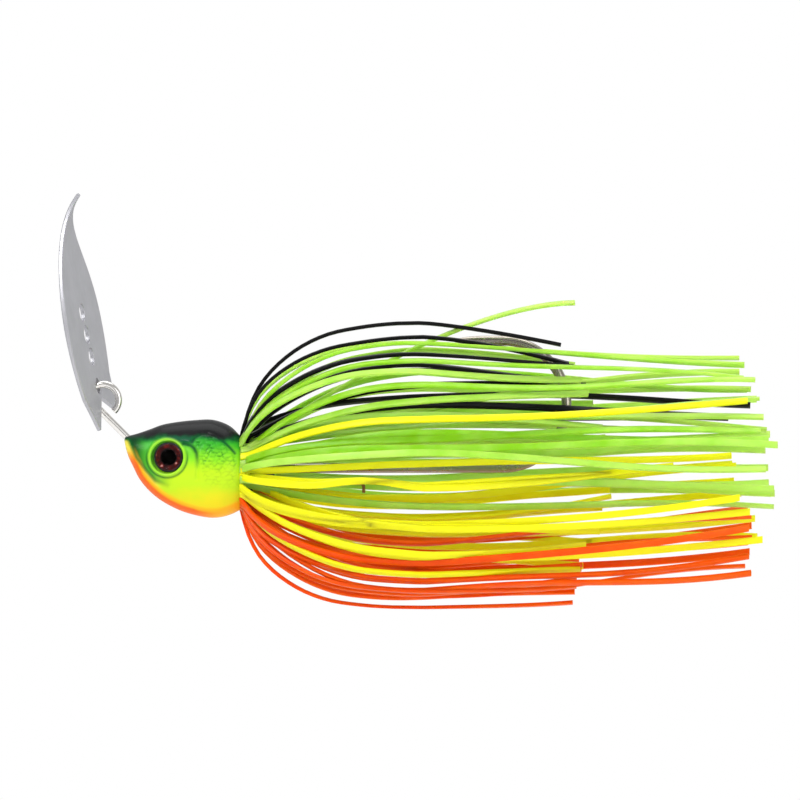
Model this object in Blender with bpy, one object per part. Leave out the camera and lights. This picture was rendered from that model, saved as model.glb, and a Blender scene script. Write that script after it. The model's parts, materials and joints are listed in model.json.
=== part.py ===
"""A bladed jig: a painted lead head on a single hook, a steel blade that swings on a wire eye at
the nose, and a silicone skirt tied on a collar behind the head.

Metres, +Z up. The nose points to -X, the skirt trails to +X, and Y is across the lure. The origin is
the centre of the wire eye's loop, which is the line that the blade swings about.
"""

import math
import random

import bmesh
import bpy
from mathutils import Euler, Vector

MM = 0.001

# Wire eye: the loop, and the straight leg that runs down and back into the nose.
EYE_WIRE = 1.0 * MM
LOOP_RADIUS = 2.2 * MM
LOOP_START = math.radians(172)
LOOP_GAP = 0.2 * MM
LOOP_STEPS = 26
LEG_ANGLE = math.radians(-45)
LEG_OFFSET = 1.29 * MM
LEG_INSIDE_HEAD = 4.2 * MM
LEG_BENDS_AT = 0.9 * MM
LEG_BEND_SHARE = 0.55
LEG_BEND_SWELL = 0.02 * MM

# Blade: along is counted up the blade from the level of the loop's centre.
BLADE_TOP = 29.9 * MM
BLADE_FOOT = 3.4 * MM
BLADE_HALF_WIDTH = 9.0 * MM
BLADE_THICKNESS = 0.6 * MM
BLADE_STAND_OFF = 0.84 * MM
BLADE_BOW = 3.5 * MM
BLADE_BOW_POWER = 8.0
BLADE_FOLD = math.radians(14)
BLADE_POSE = Euler((math.radians(16), math.radians(-1.2), math.radians(-12.6)))
LINK_CLEARANCE = 0.60 * MM
LINE_TIE_HOLE = 2.6 * MM
LINE_TIE_PITCH = 3.2 * MM
LINE_TIE_FIRST = 6.3 * MM
LINE_TIES = 3
NOTCH_BRIDGE = 0.75 * MM
NOTCH_HALF_WIDTH = 5.6 * MM
NOTCH_APEX_HALF_WIDTH = 0.25 * MM
LEAF_START = 0.23
LEAF_POINTED = 1.25
LEAF_FULL = 0.8
LEAF_TAPER = 0.2
BLADE_TIP_HALF_WIDTH = 0.12 * MM
BLADE_ROWS = 40
BLADE_COLUMNS = 8

# Head: its nose and its flat back, and the line that the skirt's collar is turned about.
NOSE_X = 3.0 * MM
HEAD_LENGTH = 16.2 * MM
HEAD_HALF_WIDTH = 5.0 * MM
COLLAR_AXIS_Z = -10.2 * MM
COLLAR_LENGTH = 4.8 * MM
COLLAR_RADIUS = 2.3 * MM
COLLAR_BEAD = 0.3 * MM
COLLAR_BEAD_WIDTH = 1.2 * MM
COLLAR_BEAD_SLOPE = 0.3 * MM
HEAD_SIDES = 32
HEAD_STEPS = 26

# Eyes: a recess with a foil iris, a pupil and a domed lens in it.
EYE_FROM_NOSE = 6.0 * MM
EYE_Z = -8.0 * MM
EYE_DIAMETER = 4.2 * MM
EYE_CLEARANCE = 0.25 * MM
EYE_RECESS = 1.0 * MM
EYE_TILT = math.radians(17)
IRIS_THICKNESS = 0.2 * MM
PUPIL_DIAMETER = 2.0 * MM
PUPIL_THICKNESS = 0.12 * MM
LENS_HEIGHT = 1.15 * MM
STACK_GAP = 0.05 * MM

# Hook: round wire, one straight shank and one round bend, with the point up.
HOOK_WIRE = 1.4 * MM
HOOK_INSIDE_HEAD = 9.7 * MM
HOOK_SHANK_Z = -9.5 * MM
HOOK_SHANK = 36.8 * MM
HOOK_GAP = 17.8 * MM
HOOK_BEND_STEPS = 20
HOOK_POINT = 7.4 * MM
# How the point thins: (share of its length, share of the wire's radius).
HOOK_TAPER = ((0.35, 1.0), (0.65, 0.85), (0.85, 0.5), (1.0, 0.08))
BARB_LENGTH = 2.0 * MM
BARB_FROM_POINT = 4.2 * MM
BARB_THICKNESS = 0.36 * MM
BARB_FOOT_FRONT = 0.9 * MM
BARB_FOOT_BACK = 0.5 * MM
BARB_SUNK = 0.25 * MM
BARB_REACH = 0.85
BARB_LIFT = 0.5

# Bait keeper: a thin wire that lies under the shank, with its end turned down.
KEEPER_WIRE = 0.45 * MM
KEEPER_Z = -11.7 * MM
KEEPER_LENGTH = 17.3 * MM
KEEPER_BEND = 0.5 * MM
KEEPER_SPUR = 1.3 * MM

CAST_IN_CLEARANCE = 0.3 * MM
# How far a cutting tool reaches past what it cuts.
CUT_BEYOND = 2.0 * MM
EYE_CUT = 4.0 * MM

# Skirt: silicone strands in two layers round the collar, with the tie over the inner layer.
STRAND_WIDTH = 0.85 * MM
STRAND_THICKNESS = 0.55 * MM
INNER_STRANDS = 16
OUTER_STRANDS = 22
LAYER_CLEARANCE = 0.2 * MM
TIE_WIDTH = 1.3 * MM
TIE_THICKNESS = 0.6 * MM
SKIRT_CLEARANCE = 0.5 * MM
SKIRT_SPREAD = 16.2 * MM
SKIRT_LENGTH = 74.0 * MM
HOOK_PLANE_FREE = math.radians(20)
STRAND_STEPS = 15
STRAND_STEP_POWER = 1.7
SKIRT_SEED = 11

# How far the skirt stands out from the collar, as shares: (share of its length, share of its spread).
SKIRT_BELL = (
    (0.000, 0.00),
    (0.020, 0.22),
    (0.060, 0.48),
    (0.130, 0.74),
    (0.200, 0.90),
    (0.270, 0.97),
    (0.340, 1.00),
    (0.420, 0.98),
    (0.580, 0.84),
    (0.750, 0.70),
    (1.000, 0.60),
)

# Head outline as shares of its length: (from the nose, top edge, bottom edge) in metres of height.
HEAD_OUTLINE = (
    (0.000, -5.15 * MM, -5.75 * MM),
    (0.010, -5.05 * MM, -6.60 * MM),
    (0.035, -4.98 * MM, -7.90 * MM),
    (0.075, -4.86 * MM, -9.30 * MM),
    (0.130, -4.60 * MM, -11.05 * MM),
    (0.220, -4.10 * MM, -12.80 * MM),
    (0.330, -3.45 * MM, -14.20 * MM),
    (0.480, -3.02 * MM, -15.45 * MM),
    (0.620, -2.80 * MM, -16.15 * MM),
    (0.750, -2.74 * MM, -16.48 * MM),
    (0.850, -3.15 * MM, -16.35 * MM),
    (0.930, -3.85 * MM, -15.95 * MM),
    (1.000, -5.00 * MM, -15.40 * MM),
)
# Half width of the head as a share of the widest, by share of its length.
HEAD_WIDTHS = (
    (0.000, 0.05),
    (0.010, 0.20),
    (0.035, 0.33),
    (0.075, 0.45),
    (0.130, 0.56),
    (0.220, 0.68),
    (0.330, 0.79),
    (0.480, 0.91),
    (0.620, 0.98),
    (0.750, 1.00),
    (0.850, 0.99),
    (0.930, 0.95),
    (1.000, 0.88),
)

HEAD_BACK_X = NOSE_X + HEAD_LENGTH
COLLAR_END_X = HEAD_BACK_X + COLLAR_LENGTH
LEG_DIRECTION = Vector((math.cos(LEG_ANGLE), 0, math.sin(LEG_ANGLE)))
LEG_FOOT = Vector((-math.sqrt(0.5), 0, -math.sqrt(0.5))) * LEG_OFFSET
LINK_HOLE_RADIUS = EYE_WIRE / 2 + LINK_CLEARANCE
LINK_HOLE_ALONG = math.sqrt(LOOP_RADIUS**2 - BLADE_STAND_OFF**2)
# The wire's cut end stops one gap short of the side of the leg.
LOOP_END = math.radians(-135) + math.acos((LEG_OFFSET - EYE_WIRE - LOOP_GAP) / LOOP_RADIUS)
EYE_X = NOSE_X + EYE_FROM_NOSE
HOOK_START_X = HEAD_BACK_X - HOOK_INSIDE_HEAD
HOOK_BEND_X = HEAD_BACK_X + HOOK_SHANK
KEEPER_END_X = HEAD_BACK_X + KEEPER_LENGTH

COLOURS = {
    "stainless": ((0.42, 0.42, 0.44), 0.35, 1.0),
    "wire": ((0.62, 0.60, 0.57), 0.22, 1.0),
    "lead_paint": ((0.42, 0.62, 0.06), 0.25, 0.0),
    "foil": ((0.45, 0.04, 0.02), 0.30, 0.6),
    "pupil": ((0.01, 0.01, 0.01), 0.20, 0.0),
    "lens": ((0.80, 0.82, 0.82), 0.05, 0.0),
    "hook_steel": ((0.28, 0.26, 0.23), 0.30, 1.0),
    "thread": ((0.03, 0.03, 0.03), 0.80, 0.0),
    "black_silicone": ((0.02, 0.02, 0.02), 0.45, 0.0),
    "green_silicone": ((0.36, 0.72, 0.08), 0.45, 0.0),
    "yellow_silicone": ((0.85, 0.86, 0.03), 0.45, 0.0),
    "orange_silicone": ((0.90, 0.13, 0.01), 0.45, 0.0),
}


# ---------------------------------------------------------------------------------- helpers


def material(name):
    found = bpy.data.materials.get(name)
    if found:
        return found
    colour, roughness, metallic = COLOURS[name]
    made = bpy.data.materials.new(name)
    made.use_nodes = True
    shader = made.node_tree.nodes["Principled BSDF"]
    shader.inputs["Base Color"].default_value = (*colour, 1.0)
    shader.inputs["Roughness"].default_value = roughness
    shader.inputs["Metallic"].default_value = metallic
    return made


def place(name, data, material_name):
    made = bpy.data.objects.new(name, data)
    if material_name:
        data.materials.append(material(material_name))
    bpy.context.scene.collection.objects.link(made)
    return made


def finish_mesh(bm, name, material_name, sharp=35):
    bmesh.ops.recalc_face_normals(bm, faces=bm.faces)
    mesh = bpy.data.meshes.new(name)
    bm.to_mesh(mesh)
    bm.free()
    mesh.shade_smooth()
    mesh.set_sharp_from_angle(angle=math.radians(sharp))
    return place(name, mesh, material_name)


def loft(bm, rings):
    """A closed skin over rings of points, which all have the same count, with flat ends."""
    rows = [[bm.verts.new(point) for point in ring] for ring in rings]
    for near, far in zip(rows, rows[1:]):
        for k in range(len(near)):
            after = (k + 1) % len(near)
            bm.faces.new((near[k], near[after], far[after], far[k]))
    bm.faces.new(rows[0])
    bm.faces.new(rows[-1])


def tube(name, points, radii, material_name, sides=2):
    """A wire along the points, with a radius at each, and flat ends."""
    curve = bpy.data.curves.new(name, "CURVE")
    curve.dimensions = "3D"
    curve.bevel_depth = 1.0
    curve.bevel_resolution = sides
    curve.use_fill_caps = True
    curve.render_resolution_u = 0
    spline = curve.splines.new("POLY")
    spline.points.add(len(points) - 1)
    for found, point, radius in zip(spline.points, points, radii):
        found.co = (*point, 1.0)
        found.radius = radius
    return place(name, curve, material_name)


def cutter(name, radius, start, end, sides=24):
    """A round cutting tool from start to end. It is a guide and no piece of the lure."""
    along = end - start
    bm = bmesh.new()
    bmesh.ops.create_cone(
        bm,
        cap_ends=True,
        segments=sides,
        radius1=radius,
        radius2=radius,
        depth=along.length,
    )
    made = finish_mesh(bm, name, None)
    made.location = (start + end) / 2
    made.rotation_euler = along.to_track_quat("Z", "Y").to_euler()
    hide(made)
    return made


def hide(guide):
    guide.hide_render = True
    guide.display_type = "WIRE"


def boolean(target, tool, operation="DIFFERENCE"):
    made = target.modifiers.new(tool.name, "BOOLEAN")
    made.operation = operation
    made.solver = "EXACT"
    made.object = tool


def shares(table, at):
    """The smooth value of a table of (share, value) at one share, by a cubic through its neighbours."""
    spots = [row[0] for row in table]
    last = len(table) - 2
    k = max(i for i in range(last + 1) if spots[i] <= at or i == 0)

    def slope(i):
        before, after = max(i - 1, 0), min(i + 1, last + 1)
        return (table[after][1] - table[before][1]) / (spots[after] - spots[before])

    span = spots[k + 1] - spots[k]
    t = (at - spots[k]) / span
    a, b = table[k][1], table[k + 1][1]
    return (
        a * (2 * t**3 - 3 * t**2 + 1)
        + b * (3 * t**2 - 2 * t**3)
        + span * slope(k) * (t**3 - 2 * t**2 + t)
        + span * slope(k + 1) * (t**3 - t**2)
    )


# ---------------------------------------------------------------------------------- wire eye


def leg_length():
    """How far the leg runs from its point nearest the loop's centre to its end inside the head."""
    return (NOSE_X - LEG_FOOT.x) / LEG_DIRECTION.x + LEG_INSIDE_HEAD


def wire_eye():
    """One wire: up the leg from inside the head, round the loop, and cut off just short of the leg."""
    inside = leg_length()
    loop_first = Vector((math.cos(LOOP_START), 0, math.sin(LOOP_START))) * LOOP_RADIUS
    leg_top = LEG_FOOT - LEG_DIRECTION * LEG_BENDS_AT
    swell = Vector((-LEG_BEND_SWELL, 0, 0))
    path = [LEG_FOOT + LEG_DIRECTION * inside]
    path += [LEG_FOOT + LEG_DIRECTION * inside * share for share in (0.5, 0.2, 0.0)]
    path += [leg_top, leg_top.lerp(loop_first, LEG_BEND_SHARE) + swell]
    for k in range(LOOP_STEPS + 1):
        at = LOOP_START + (LOOP_END - LOOP_START) * k / LOOP_STEPS
        path.append(Vector((math.cos(at), 0, math.sin(at))) * LOOP_RADIUS)
    return tube("wire_eye", path, [EYE_WIRE / 2] * len(path), "wire", sides=3)


# ---------------------------------------------------------------------------------- blade


def blade_half_width(along):
    """A leaf: a pointed top, widest a third of the way up, and narrower again at the foot."""
    up = max(along, 0) / BLADE_TOP
    turn = math.pi * (LEAF_START + (1 - LEAF_START) * up)
    power = LEAF_POINTED if turn > math.pi / 2 else LEAF_FULL
    foot = 1 - LEAF_TAPER * max(-along, 0) / BLADE_FOOT
    return max(BLADE_HALF_WIDTH * foot * abs(math.sin(turn)) ** power, BLADE_TIP_HALF_WIDTH)


def blade_point(across, along, out):
    """A point of the blade in its own axes: X out of its back, Y across it and Z up it. The blade
    bows forwards above the fold, most of all near its top, and its foot is folded back."""
    fold = LINK_HOLE_ALONG
    above = BLADE_TOP - fold
    if along >= fold:
        up = (along - fold) / above
        x = -BLADE_BOW * (up - up**BLADE_BOW_POWER)
        slope = -BLADE_BOW / above * (1 - BLADE_BOW_POWER * up ** (BLADE_BOW_POWER - 1))
    else:
        x = (fold - along) * math.sin(BLADE_FOLD)
        along = fold - (fold - along) * math.cos(BLADE_FOLD)
        slope = -math.tan(BLADE_FOLD)
    normal = Vector((1, 0, -slope)).normalized()
    return Vector((x - BLADE_STAND_OFF, across, along)) + normal * out


def blade_hole(blade, name, along, radius):
    front = blade_point(0, along, -CUT_BEYOND)
    back = blade_point(0, along, CUT_BEYOND)
    tool = cutter(name, radius, front, back, 20)
    tool.parent = blade
    boolean(blade, tool)


def blade():
    rings = []
    for row in range(BLADE_ROWS + 1):
        along = BLADE_TOP - (BLADE_TOP + BLADE_FOOT) * row / BLADE_ROWS
        half = blade_half_width(along)
        across = [half * (2 * k / BLADE_COLUMNS - 1) for k in range(BLADE_COLUMNS + 1)]
        back = [blade_point(y, along, BLADE_THICKNESS / 2) for y in across]
        front = [blade_point(y, along, -BLADE_THICKNESS / 2) for y in reversed(across)]
        rings.append(back + front)
    bm = bmesh.new()
    loft(bm, rings)
    made = finish_mesh(bm, "blade", "stainless")
    made.rotation_euler = BLADE_POSE
    blade_hole(made, "link_hole_tool", LINK_HOLE_ALONG, LINK_HOLE_RADIUS)
    for k in range(LINE_TIES):
        along = LINE_TIE_FIRST + k * LINE_TIE_PITCH
        blade_hole(made, f"line_tie_tool_{k + 1}", along, LINE_TIE_HOLE / 2)
    notch_tool(made)
    return made


def notch_tool(blade):
    """The V-shaped notch between the two feet of the blade, which the leg of the eye passes through."""
    apex = LINK_HOLE_ALONG - LINK_HOLE_RADIUS - NOTCH_BRIDGE
    deep = BLADE_FOOT + CUT_BEYOND
    flare = NOTCH_HALF_WIDTH * (apex + deep) / (apex + BLADE_FOOT)
    tip = NOTCH_APEX_HALF_WIDTH
    outline = [(-flare, -deep), (flare, -deep), (tip, apex), (-tip, apex)]
    sides = [
        [blade_point(across, along, out) for across, along in outline]
        for out in (-CUT_BEYOND, CUT_BEYOND)
    ]
    bm = bmesh.new()
    loft(bm, sides)
    tool = finish_mesh(bm, "notch_tool", None)
    hide(tool)
    tool.parent = blade
    boolean(blade, tool)


# ---------------------------------------------------------------------------------- head


def head_section(share):
    """(middle height, half height, half width) of the head at a share of its length."""
    top = shares([(row[0], row[1]) for row in HEAD_OUTLINE], share)
    bottom = shares([(row[0], row[2]) for row in HEAD_OUTLINE], share)
    return (top + bottom) / 2, (top - bottom) / 2, HEAD_HALF_WIDTH * shares(HEAD_WIDTHS, share)


def cross_ring(x, middle, half_width, half_height):
    """An oval ring of points across the lure at x."""
    return [
        Vector((x, half_width * math.sin(turn), middle + half_height * math.cos(turn)))
        for turn in (2 * math.pi * j / HEAD_SIDES for j in range(HEAD_SIDES))
    ]


def head():
    """The cast head with its collar in one skin, cut for the eyes and for what is cast into it."""
    rings = []
    for k in range(HEAD_STEPS + 1):
        share = 1 - math.cos(math.pi / 2 * k / HEAD_STEPS) if k < HEAD_STEPS else 1.0
        middle, half_height, half_width = head_section(share)
        rings.append(cross_ring(NOSE_X + HEAD_LENGTH * share, middle, half_width, half_height))
    bead = COLLAR_RADIUS + COLLAR_BEAD
    bead_start = COLLAR_LENGTH - COLLAR_BEAD_WIDTH
    profile = (
        (0.0, COLLAR_RADIUS),
        (bead_start, COLLAR_RADIUS),
        (bead_start + COLLAR_BEAD_SLOPE, bead),
        (COLLAR_LENGTH - COLLAR_BEAD_SLOPE, bead),
        (COLLAR_LENGTH, COLLAR_RADIUS),
    )
    for back, radius in profile:
        rings.append(cross_ring(HEAD_BACK_X + back, COLLAR_AXIS_Z, radius, radius))
    bm = bmesh.new()
    loft(bm, rings)
    made = finish_mesh(bm, "head", "lead_paint")
    for side, name in ((-1, "left"), (1, "right")):
        floor = eye_floor(side)
        recess = EYE_DIAMETER / 2 + EYE_CLEARANCE
        tool = cutter(f"eye_tool_{name}", recess, floor, floor + eye_out(side) * EYE_CUT, 32)
        boolean(made, tool)
    start = LEG_FOOT + LEG_DIRECTION * (leg_length() + CAST_IN_CLEARANCE)
    bored = EYE_WIRE / 2 + CAST_IN_CLEARANCE
    boolean(made, cutter("leg_bore_tool", bored, start, LEG_FOOT, 16))
    start = Vector((HOOK_START_X - CAST_IN_CLEARANCE, 0, HOOK_SHANK_Z))
    end = Vector((COLLAR_END_X + CUT_BEYOND, 0, HOOK_SHANK_Z))
    bored = HOOK_WIRE / 2 + CAST_IN_CLEARANCE
    boolean(made, cutter("hook_bore_tool", bored, start, end, 16))
    start = Vector((HEAD_BACK_X, 0, KEEPER_Z))
    end = Vector((COLLAR_END_X + CUT_BEYOND, 0, KEEPER_Z))
    bored = KEEPER_WIRE / 2 + CAST_IN_CLEARANCE / 2
    boolean(made, cutter("keeper_bore_tool", bored, start, end, 12))
    return made


# ---------------------------------------------------------------------------------- eyes


def eye_out(side):
    """The way that an eye looks: outwards, and a little forwards with the taper of the head."""
    return Vector((-math.sin(EYE_TILT), side * math.cos(EYE_TILT), 0))


def eye_floor(side):
    """The middle of the recess's floor."""
    middle, half_height, half_width = head_section((EYE_X - NOSE_X) / HEAD_LENGTH)
    up = (EYE_Z - middle) / half_height
    surface = Vector((EYE_X, side * half_width * math.sqrt(1 - up**2), EYE_Z))
    return surface - eye_out(side) * EYE_RECESS


def turned(name, profile, material_name, foot, out, sides=28):
    """A solid turned from a profile of (radius, height) about the line that leaves foot along out."""
    bm = bmesh.new()
    turns = [2 * math.pi * j / sides for j in range(sides)]
    rings = [
        [(radius * math.cos(turn), radius * math.sin(turn), up) for turn in turns]
        for radius, up in profile
    ]
    loft(bm, rings)
    made = finish_mesh(bm, name, material_name)
    made.location = foot
    made.rotation_euler = out.to_track_quat("Z", "Y").to_euler()
    return made


def eyes():
    made = []
    for side, name in ((-1, "left"), (1, "right")):
        out = eye_out(side)
        foot = eye_floor(side) + out * STACK_GAP
        wide = EYE_DIAMETER / 2
        disc = [(wide, 0.0), (wide, IRIS_THICKNESS)]
        made.append(turned(f"iris_{name}", disc, "foil", foot, out))
        foot = foot + out * (IRIS_THICKNESS + STACK_GAP)
        disc = [(PUPIL_DIAMETER / 2, 0.0), (PUPIL_DIAMETER / 2, PUPIL_THICKNESS)]
        made.append(turned(f"pupil_{name}", disc, "pupil", foot, out))
        foot = foot + out * (PUPIL_THICKNESS + STACK_GAP)
        ball = (wide**2 + LENS_HEIGHT**2) / (2 * LENS_HEIGHT)
        rim = math.asin(wide / ball)
        dome = [(wide, 0.0)]
        for k in range(1, 8):
            at = rim * (1 - k / 8)
            dome.append((ball * math.sin(at), LENS_HEIGHT - ball * (1 - math.cos(at))))
        made.append(turned(f"lens_{name}", dome, "lens", foot, out))
    return made


# ---------------------------------------------------------------------------------- hook, keeper


def hook():
    """The shank from inside the head, the round bend, and the point that tapers off forwards."""
    bend = HOOK_GAP / 2
    path = [Vector((x, 0, HOOK_SHANK_Z)) for x in (HOOK_START_X, COLLAR_END_X, HOOK_BEND_X)]
    for k in range(1, HOOK_BEND_STEPS + 1):
        at = -math.pi / 2 + math.pi * k / HOOK_BEND_STEPS
        up = HOOK_SHANK_Z + bend + bend * math.sin(at)
        path.append(Vector((HOOK_BEND_X + bend * math.cos(at), 0, up)))
    radii = [HOOK_WIRE / 2] * len(path)
    top = HOOK_SHANK_Z + HOOK_GAP
    for share, thick in HOOK_TAPER:
        path.append(Vector((HOOK_BEND_X - HOOK_POINT * share, 0, top)))
        radii.append(HOOK_WIRE / 2 * thick)
    made = tube("hook", path, radii, "hook_steel", sides=3)
    foot = Vector((HOOK_BEND_X - HOOK_POINT + BARB_FROM_POINT, 0, top - BARB_SUNK))
    tip = foot + Vector((BARB_LENGTH * BARB_REACH, 0, -BARB_LENGTH * BARB_LIFT))
    front = foot - Vector((BARB_FOOT_FRONT, 0, 0))
    back = foot + Vector((BARB_FOOT_BACK, 0, 0))
    half = BARB_THICKNESS / 2
    bm = bmesh.new()
    loft(bm, [[p + Vector((0, y, 0)) for p in (front, back, tip)] for y in (-half, half)])
    barb = finish_mesh(bm, "barb_tool", None)
    hide(barb)
    boolean(made_mesh(made), barb, "UNION")
    return made


def made_mesh(curve_object):
    """The curve's surface as a mesh on the same object, which a Boolean needs."""
    graph = bpy.context.evaluated_depsgraph_get()
    mesh = bpy.data.meshes.new_from_object(curve_object.evaluated_get(graph))
    name = curve_object.name
    bpy.data.objects.remove(curve_object)
    mesh.shade_smooth()
    return place(name, mesh, None)


def bait_keeper():
    start = Vector((HEAD_BACK_X + CAST_IN_CLEARANCE, 0, KEEPER_Z))
    corner = Vector((KEEPER_END_X, 0, KEEPER_Z))
    round_share = 0.3
    path = [start, corner - Vector((KEEPER_BEND, 0, 0))]
    path += [corner - Vector((KEEPER_BEND, 0, KEEPER_BEND)) * round_share]
    path += [corner - Vector((0, 0, KEEPER_BEND)), corner - Vector((0, 0, KEEPER_SPUR))]
    return tube("bait_keeper", path, [KEEPER_WIRE / 2] * len(path), "wire", sides=1)


# ---------------------------------------------------------------------------------- skirt

INNER_LAYER = COLLAR_RADIUS + COLLAR_BEAD + LAYER_CLEARANCE + STRAND_THICKNESS / 2
TIE_INNER = INNER_LAYER + STRAND_THICKNESS / 2 + LAYER_CLEARANCE
OUTER_LAYER = TIE_INNER + TIE_THICKNESS + LAYER_CLEARANCE + STRAND_THICKNESS / 2
SKIRT_X = HEAD_BACK_X + SKIRT_CLEARANCE


def skirt_tie():
    """The band that holds the inner layer on the collar."""
    outer = TIE_INNER + TIE_THICKNESS
    start = SKIRT_X + SKIRT_CLEARANCE
    profile = ((TIE_INNER, 0.0), (outer, 0.0), (outer, TIE_WIDTH), (TIE_INNER, TIE_WIDTH))
    bm = bmesh.new()
    rings = []
    for radius, back in profile:
        ring = cross_ring(start + back, COLLAR_AXIS_Z, radius, radius)
        rings.append([bm.verts.new(point) for point in ring])
    for near, far in zip(rings, rings[1:] + rings[:1]):
        for j in range(HEAD_SIDES):
            after = (j + 1) % HEAD_SIDES
            bm.faces.new((near[j], near[after], far[after], far[j]))
    return finish_mesh(bm, "skirt_tie", "thread")


def strand(name, angle, layer, spread, length, held, material_name):
    """One strip of silicone. It stays in its own half plane through the collar's axis. held is how
    far it runs straight under the tie before it stands out."""
    out = Vector((0, math.cos(angle), math.sin(angle)))
    across = Vector((0, -math.sin(angle), math.cos(angle)))
    root = Vector((SKIRT_X, 0, COLLAR_AXIS_Z)) + out * layer
    spots = [Vector((held * k / 2, 0, 0)) for k in range(2)] if held else []
    for k in range(STRAND_STEPS + 1):
        share = (k / STRAND_STEPS) ** STRAND_STEP_POWER * length / SKIRT_LENGTH
        standing = SKIRT_SPREAD * spread * shares(SKIRT_BELL, share)
        spots.append(Vector((held + SKIRT_LENGTH * share, 0, standing)))
    points = [root + Vector((spot.x, 0, 0)) + out * spot.z for spot in spots]
    bm = bmesh.new()
    rings = []
    for k, point in enumerate(points):
        along = points[min(k + 1, len(points) - 1)] - points[max(k - 1, 0)]
        up = along.cross(across).normalized() * STRAND_THICKNESS / 2
        side = across * STRAND_WIDTH / 2
        rings.append([point - side - up, point + side - up, point + side + up, point - side + up])
    loft(bm, rings)
    return finish_mesh(bm, name, material_name, 60)


def strand_colour(angle, rank):
    """Black on the back, light green on the sides, yellow below and orange on the belly."""
    up = math.sin(angle)
    if up > 0.62 and rank % 2 == 0:
        return "black_silicone"
    if up > -0.12:
        return "green_silicone"
    if up > -0.62:
        return "yellow_silicone"
    return "orange_silicone"


def skirt():
    """The outer layer stands out at once behind the head and is shorter where it stands out most.
    The inner layer leaves out the plane of the hook's gap, which stays open."""
    rng = random.Random(SKIRT_SEED)
    made = []
    for k in range(OUTER_STRANDS):
        angle = math.pi / 2 + 2 * math.pi * (k + 0.5) / OUTER_STRANDS
        wide = abs(math.sin(angle)) > 0.9 or k % 2 == 0
        spread = rng.uniform(0.92, 1.0) if wide else rng.uniform(0.66, 0.74)
        length = rng.uniform(0.56, 0.62) if wide else rng.uniform(0.90, 1.0)
        colour = strand_colour(angle, k)
        name = f"skirt_outer_{k + 1:02d}"
        made.append(strand(name, angle, OUTER_LAYER, spread, SKIRT_LENGTH * length, 0.0, colour))
    for k in range(INNER_STRANDS):
        free = 2 * math.pi - 2 * HOOK_PLANE_FREE
        angle = math.pi / 2 + HOOK_PLANE_FREE + free * k / (INNER_STRANDS - 1)
        spread = rng.uniform(0.36, 0.44) if k % 2 == 0 else rng.uniform(0.52, 0.58)
        length = rng.uniform(0.94, 1.0)
        colour = strand_colour(angle, k + 1)
        name = f"skirt_inner_{k + 1:02d}"
        held = SKIRT_CLEARANCE * 2 + TIE_WIDTH
        made.append(strand(name, angle, INNER_LAYER, spread, SKIRT_LENGTH * length, held, colour))
    return made


# ---------------------------------------------------------------------------------- assembly


def main():
    for left in list(bpy.data.objects):
        bpy.data.objects.remove(left)
    wire_eye()
    blade()
    head()
    eyes()
    hook()
    bait_keeper()
    skirt_tie()
    skirt()


main()
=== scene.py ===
# %% [markdown]
# # A bladed jig, piece by piece
# This lesson dresses a fishing lure: a painted lead head on one hook, a steel blade that wobbles on a
# wire eye at the nose, and a skirt of silicone strands. The exact solids of every piece come in first,
# as a fixed frame. Each later step builds the finished look of one piece round its solid.

# %% Load the frame
import json
import math
import random

import bmesh
import bpy
import numpy as np
from mathutils import Euler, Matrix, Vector


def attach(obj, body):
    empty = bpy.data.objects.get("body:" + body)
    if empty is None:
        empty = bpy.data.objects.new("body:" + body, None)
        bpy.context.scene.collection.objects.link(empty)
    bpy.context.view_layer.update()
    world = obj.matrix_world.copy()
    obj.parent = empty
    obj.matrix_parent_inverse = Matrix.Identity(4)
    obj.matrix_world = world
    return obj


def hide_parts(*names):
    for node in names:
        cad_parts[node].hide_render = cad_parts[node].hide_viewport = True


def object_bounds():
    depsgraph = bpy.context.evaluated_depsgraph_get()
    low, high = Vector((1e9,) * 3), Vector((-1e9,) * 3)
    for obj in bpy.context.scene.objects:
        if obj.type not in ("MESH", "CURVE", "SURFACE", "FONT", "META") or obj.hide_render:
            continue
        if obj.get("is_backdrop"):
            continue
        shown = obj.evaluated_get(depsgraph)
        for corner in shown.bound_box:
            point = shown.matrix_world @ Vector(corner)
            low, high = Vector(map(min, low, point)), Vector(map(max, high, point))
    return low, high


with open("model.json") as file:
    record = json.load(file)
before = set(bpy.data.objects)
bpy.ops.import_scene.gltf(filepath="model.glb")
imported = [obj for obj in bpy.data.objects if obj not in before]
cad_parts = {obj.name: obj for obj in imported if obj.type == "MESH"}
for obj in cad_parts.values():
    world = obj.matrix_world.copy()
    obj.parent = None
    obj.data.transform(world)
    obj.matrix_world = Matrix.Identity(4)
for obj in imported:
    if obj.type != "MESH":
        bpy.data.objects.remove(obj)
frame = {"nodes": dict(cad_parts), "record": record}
CAD_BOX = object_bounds()
MM = 0.001
print("solids:", len(frame["nodes"]), "box:", CAD_BOX)

# %% [markdown]
# ## Camera, floor and light
# Small lures are shown flat from the side, so the camera looks straight across from far off with a
# long lens, which keeps the far strands as large as the near ones. A pale floor lies well below. The
# room is a bright panel behind the lure that fades to a softer grey in front, so that bright wire has
# something darker to mirror. Broad soft lights stand above and in front.

# %% Camera
VIEW_CENTRE = Vector((41.58 * MM, 0, 0))
VIEW_WIDTH = 112 * MM
CAMERA_DISTANCE = 2.4
SENSOR = 36.0

scene = bpy.context.scene
camera_data = bpy.data.cameras.new("side_camera")
camera_data.sensor_width = SENSOR
camera_data.lens = SENSOR * CAMERA_DISTANCE / VIEW_WIDTH
camera_data.clip_start = 0.01
camera = bpy.data.objects.new("side_camera", camera_data)
camera.location = VIEW_CENTRE + Vector((0, -CAMERA_DISTANCE, 0))
camera.rotation_euler = (math.pi / 2, 0, 0)
scene.collection.objects.link(camera)
scene.camera = camera
scene.view_settings.view_transform = "Standard"
print("lens:", round(camera_data.lens, 1), "mm")

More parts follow.
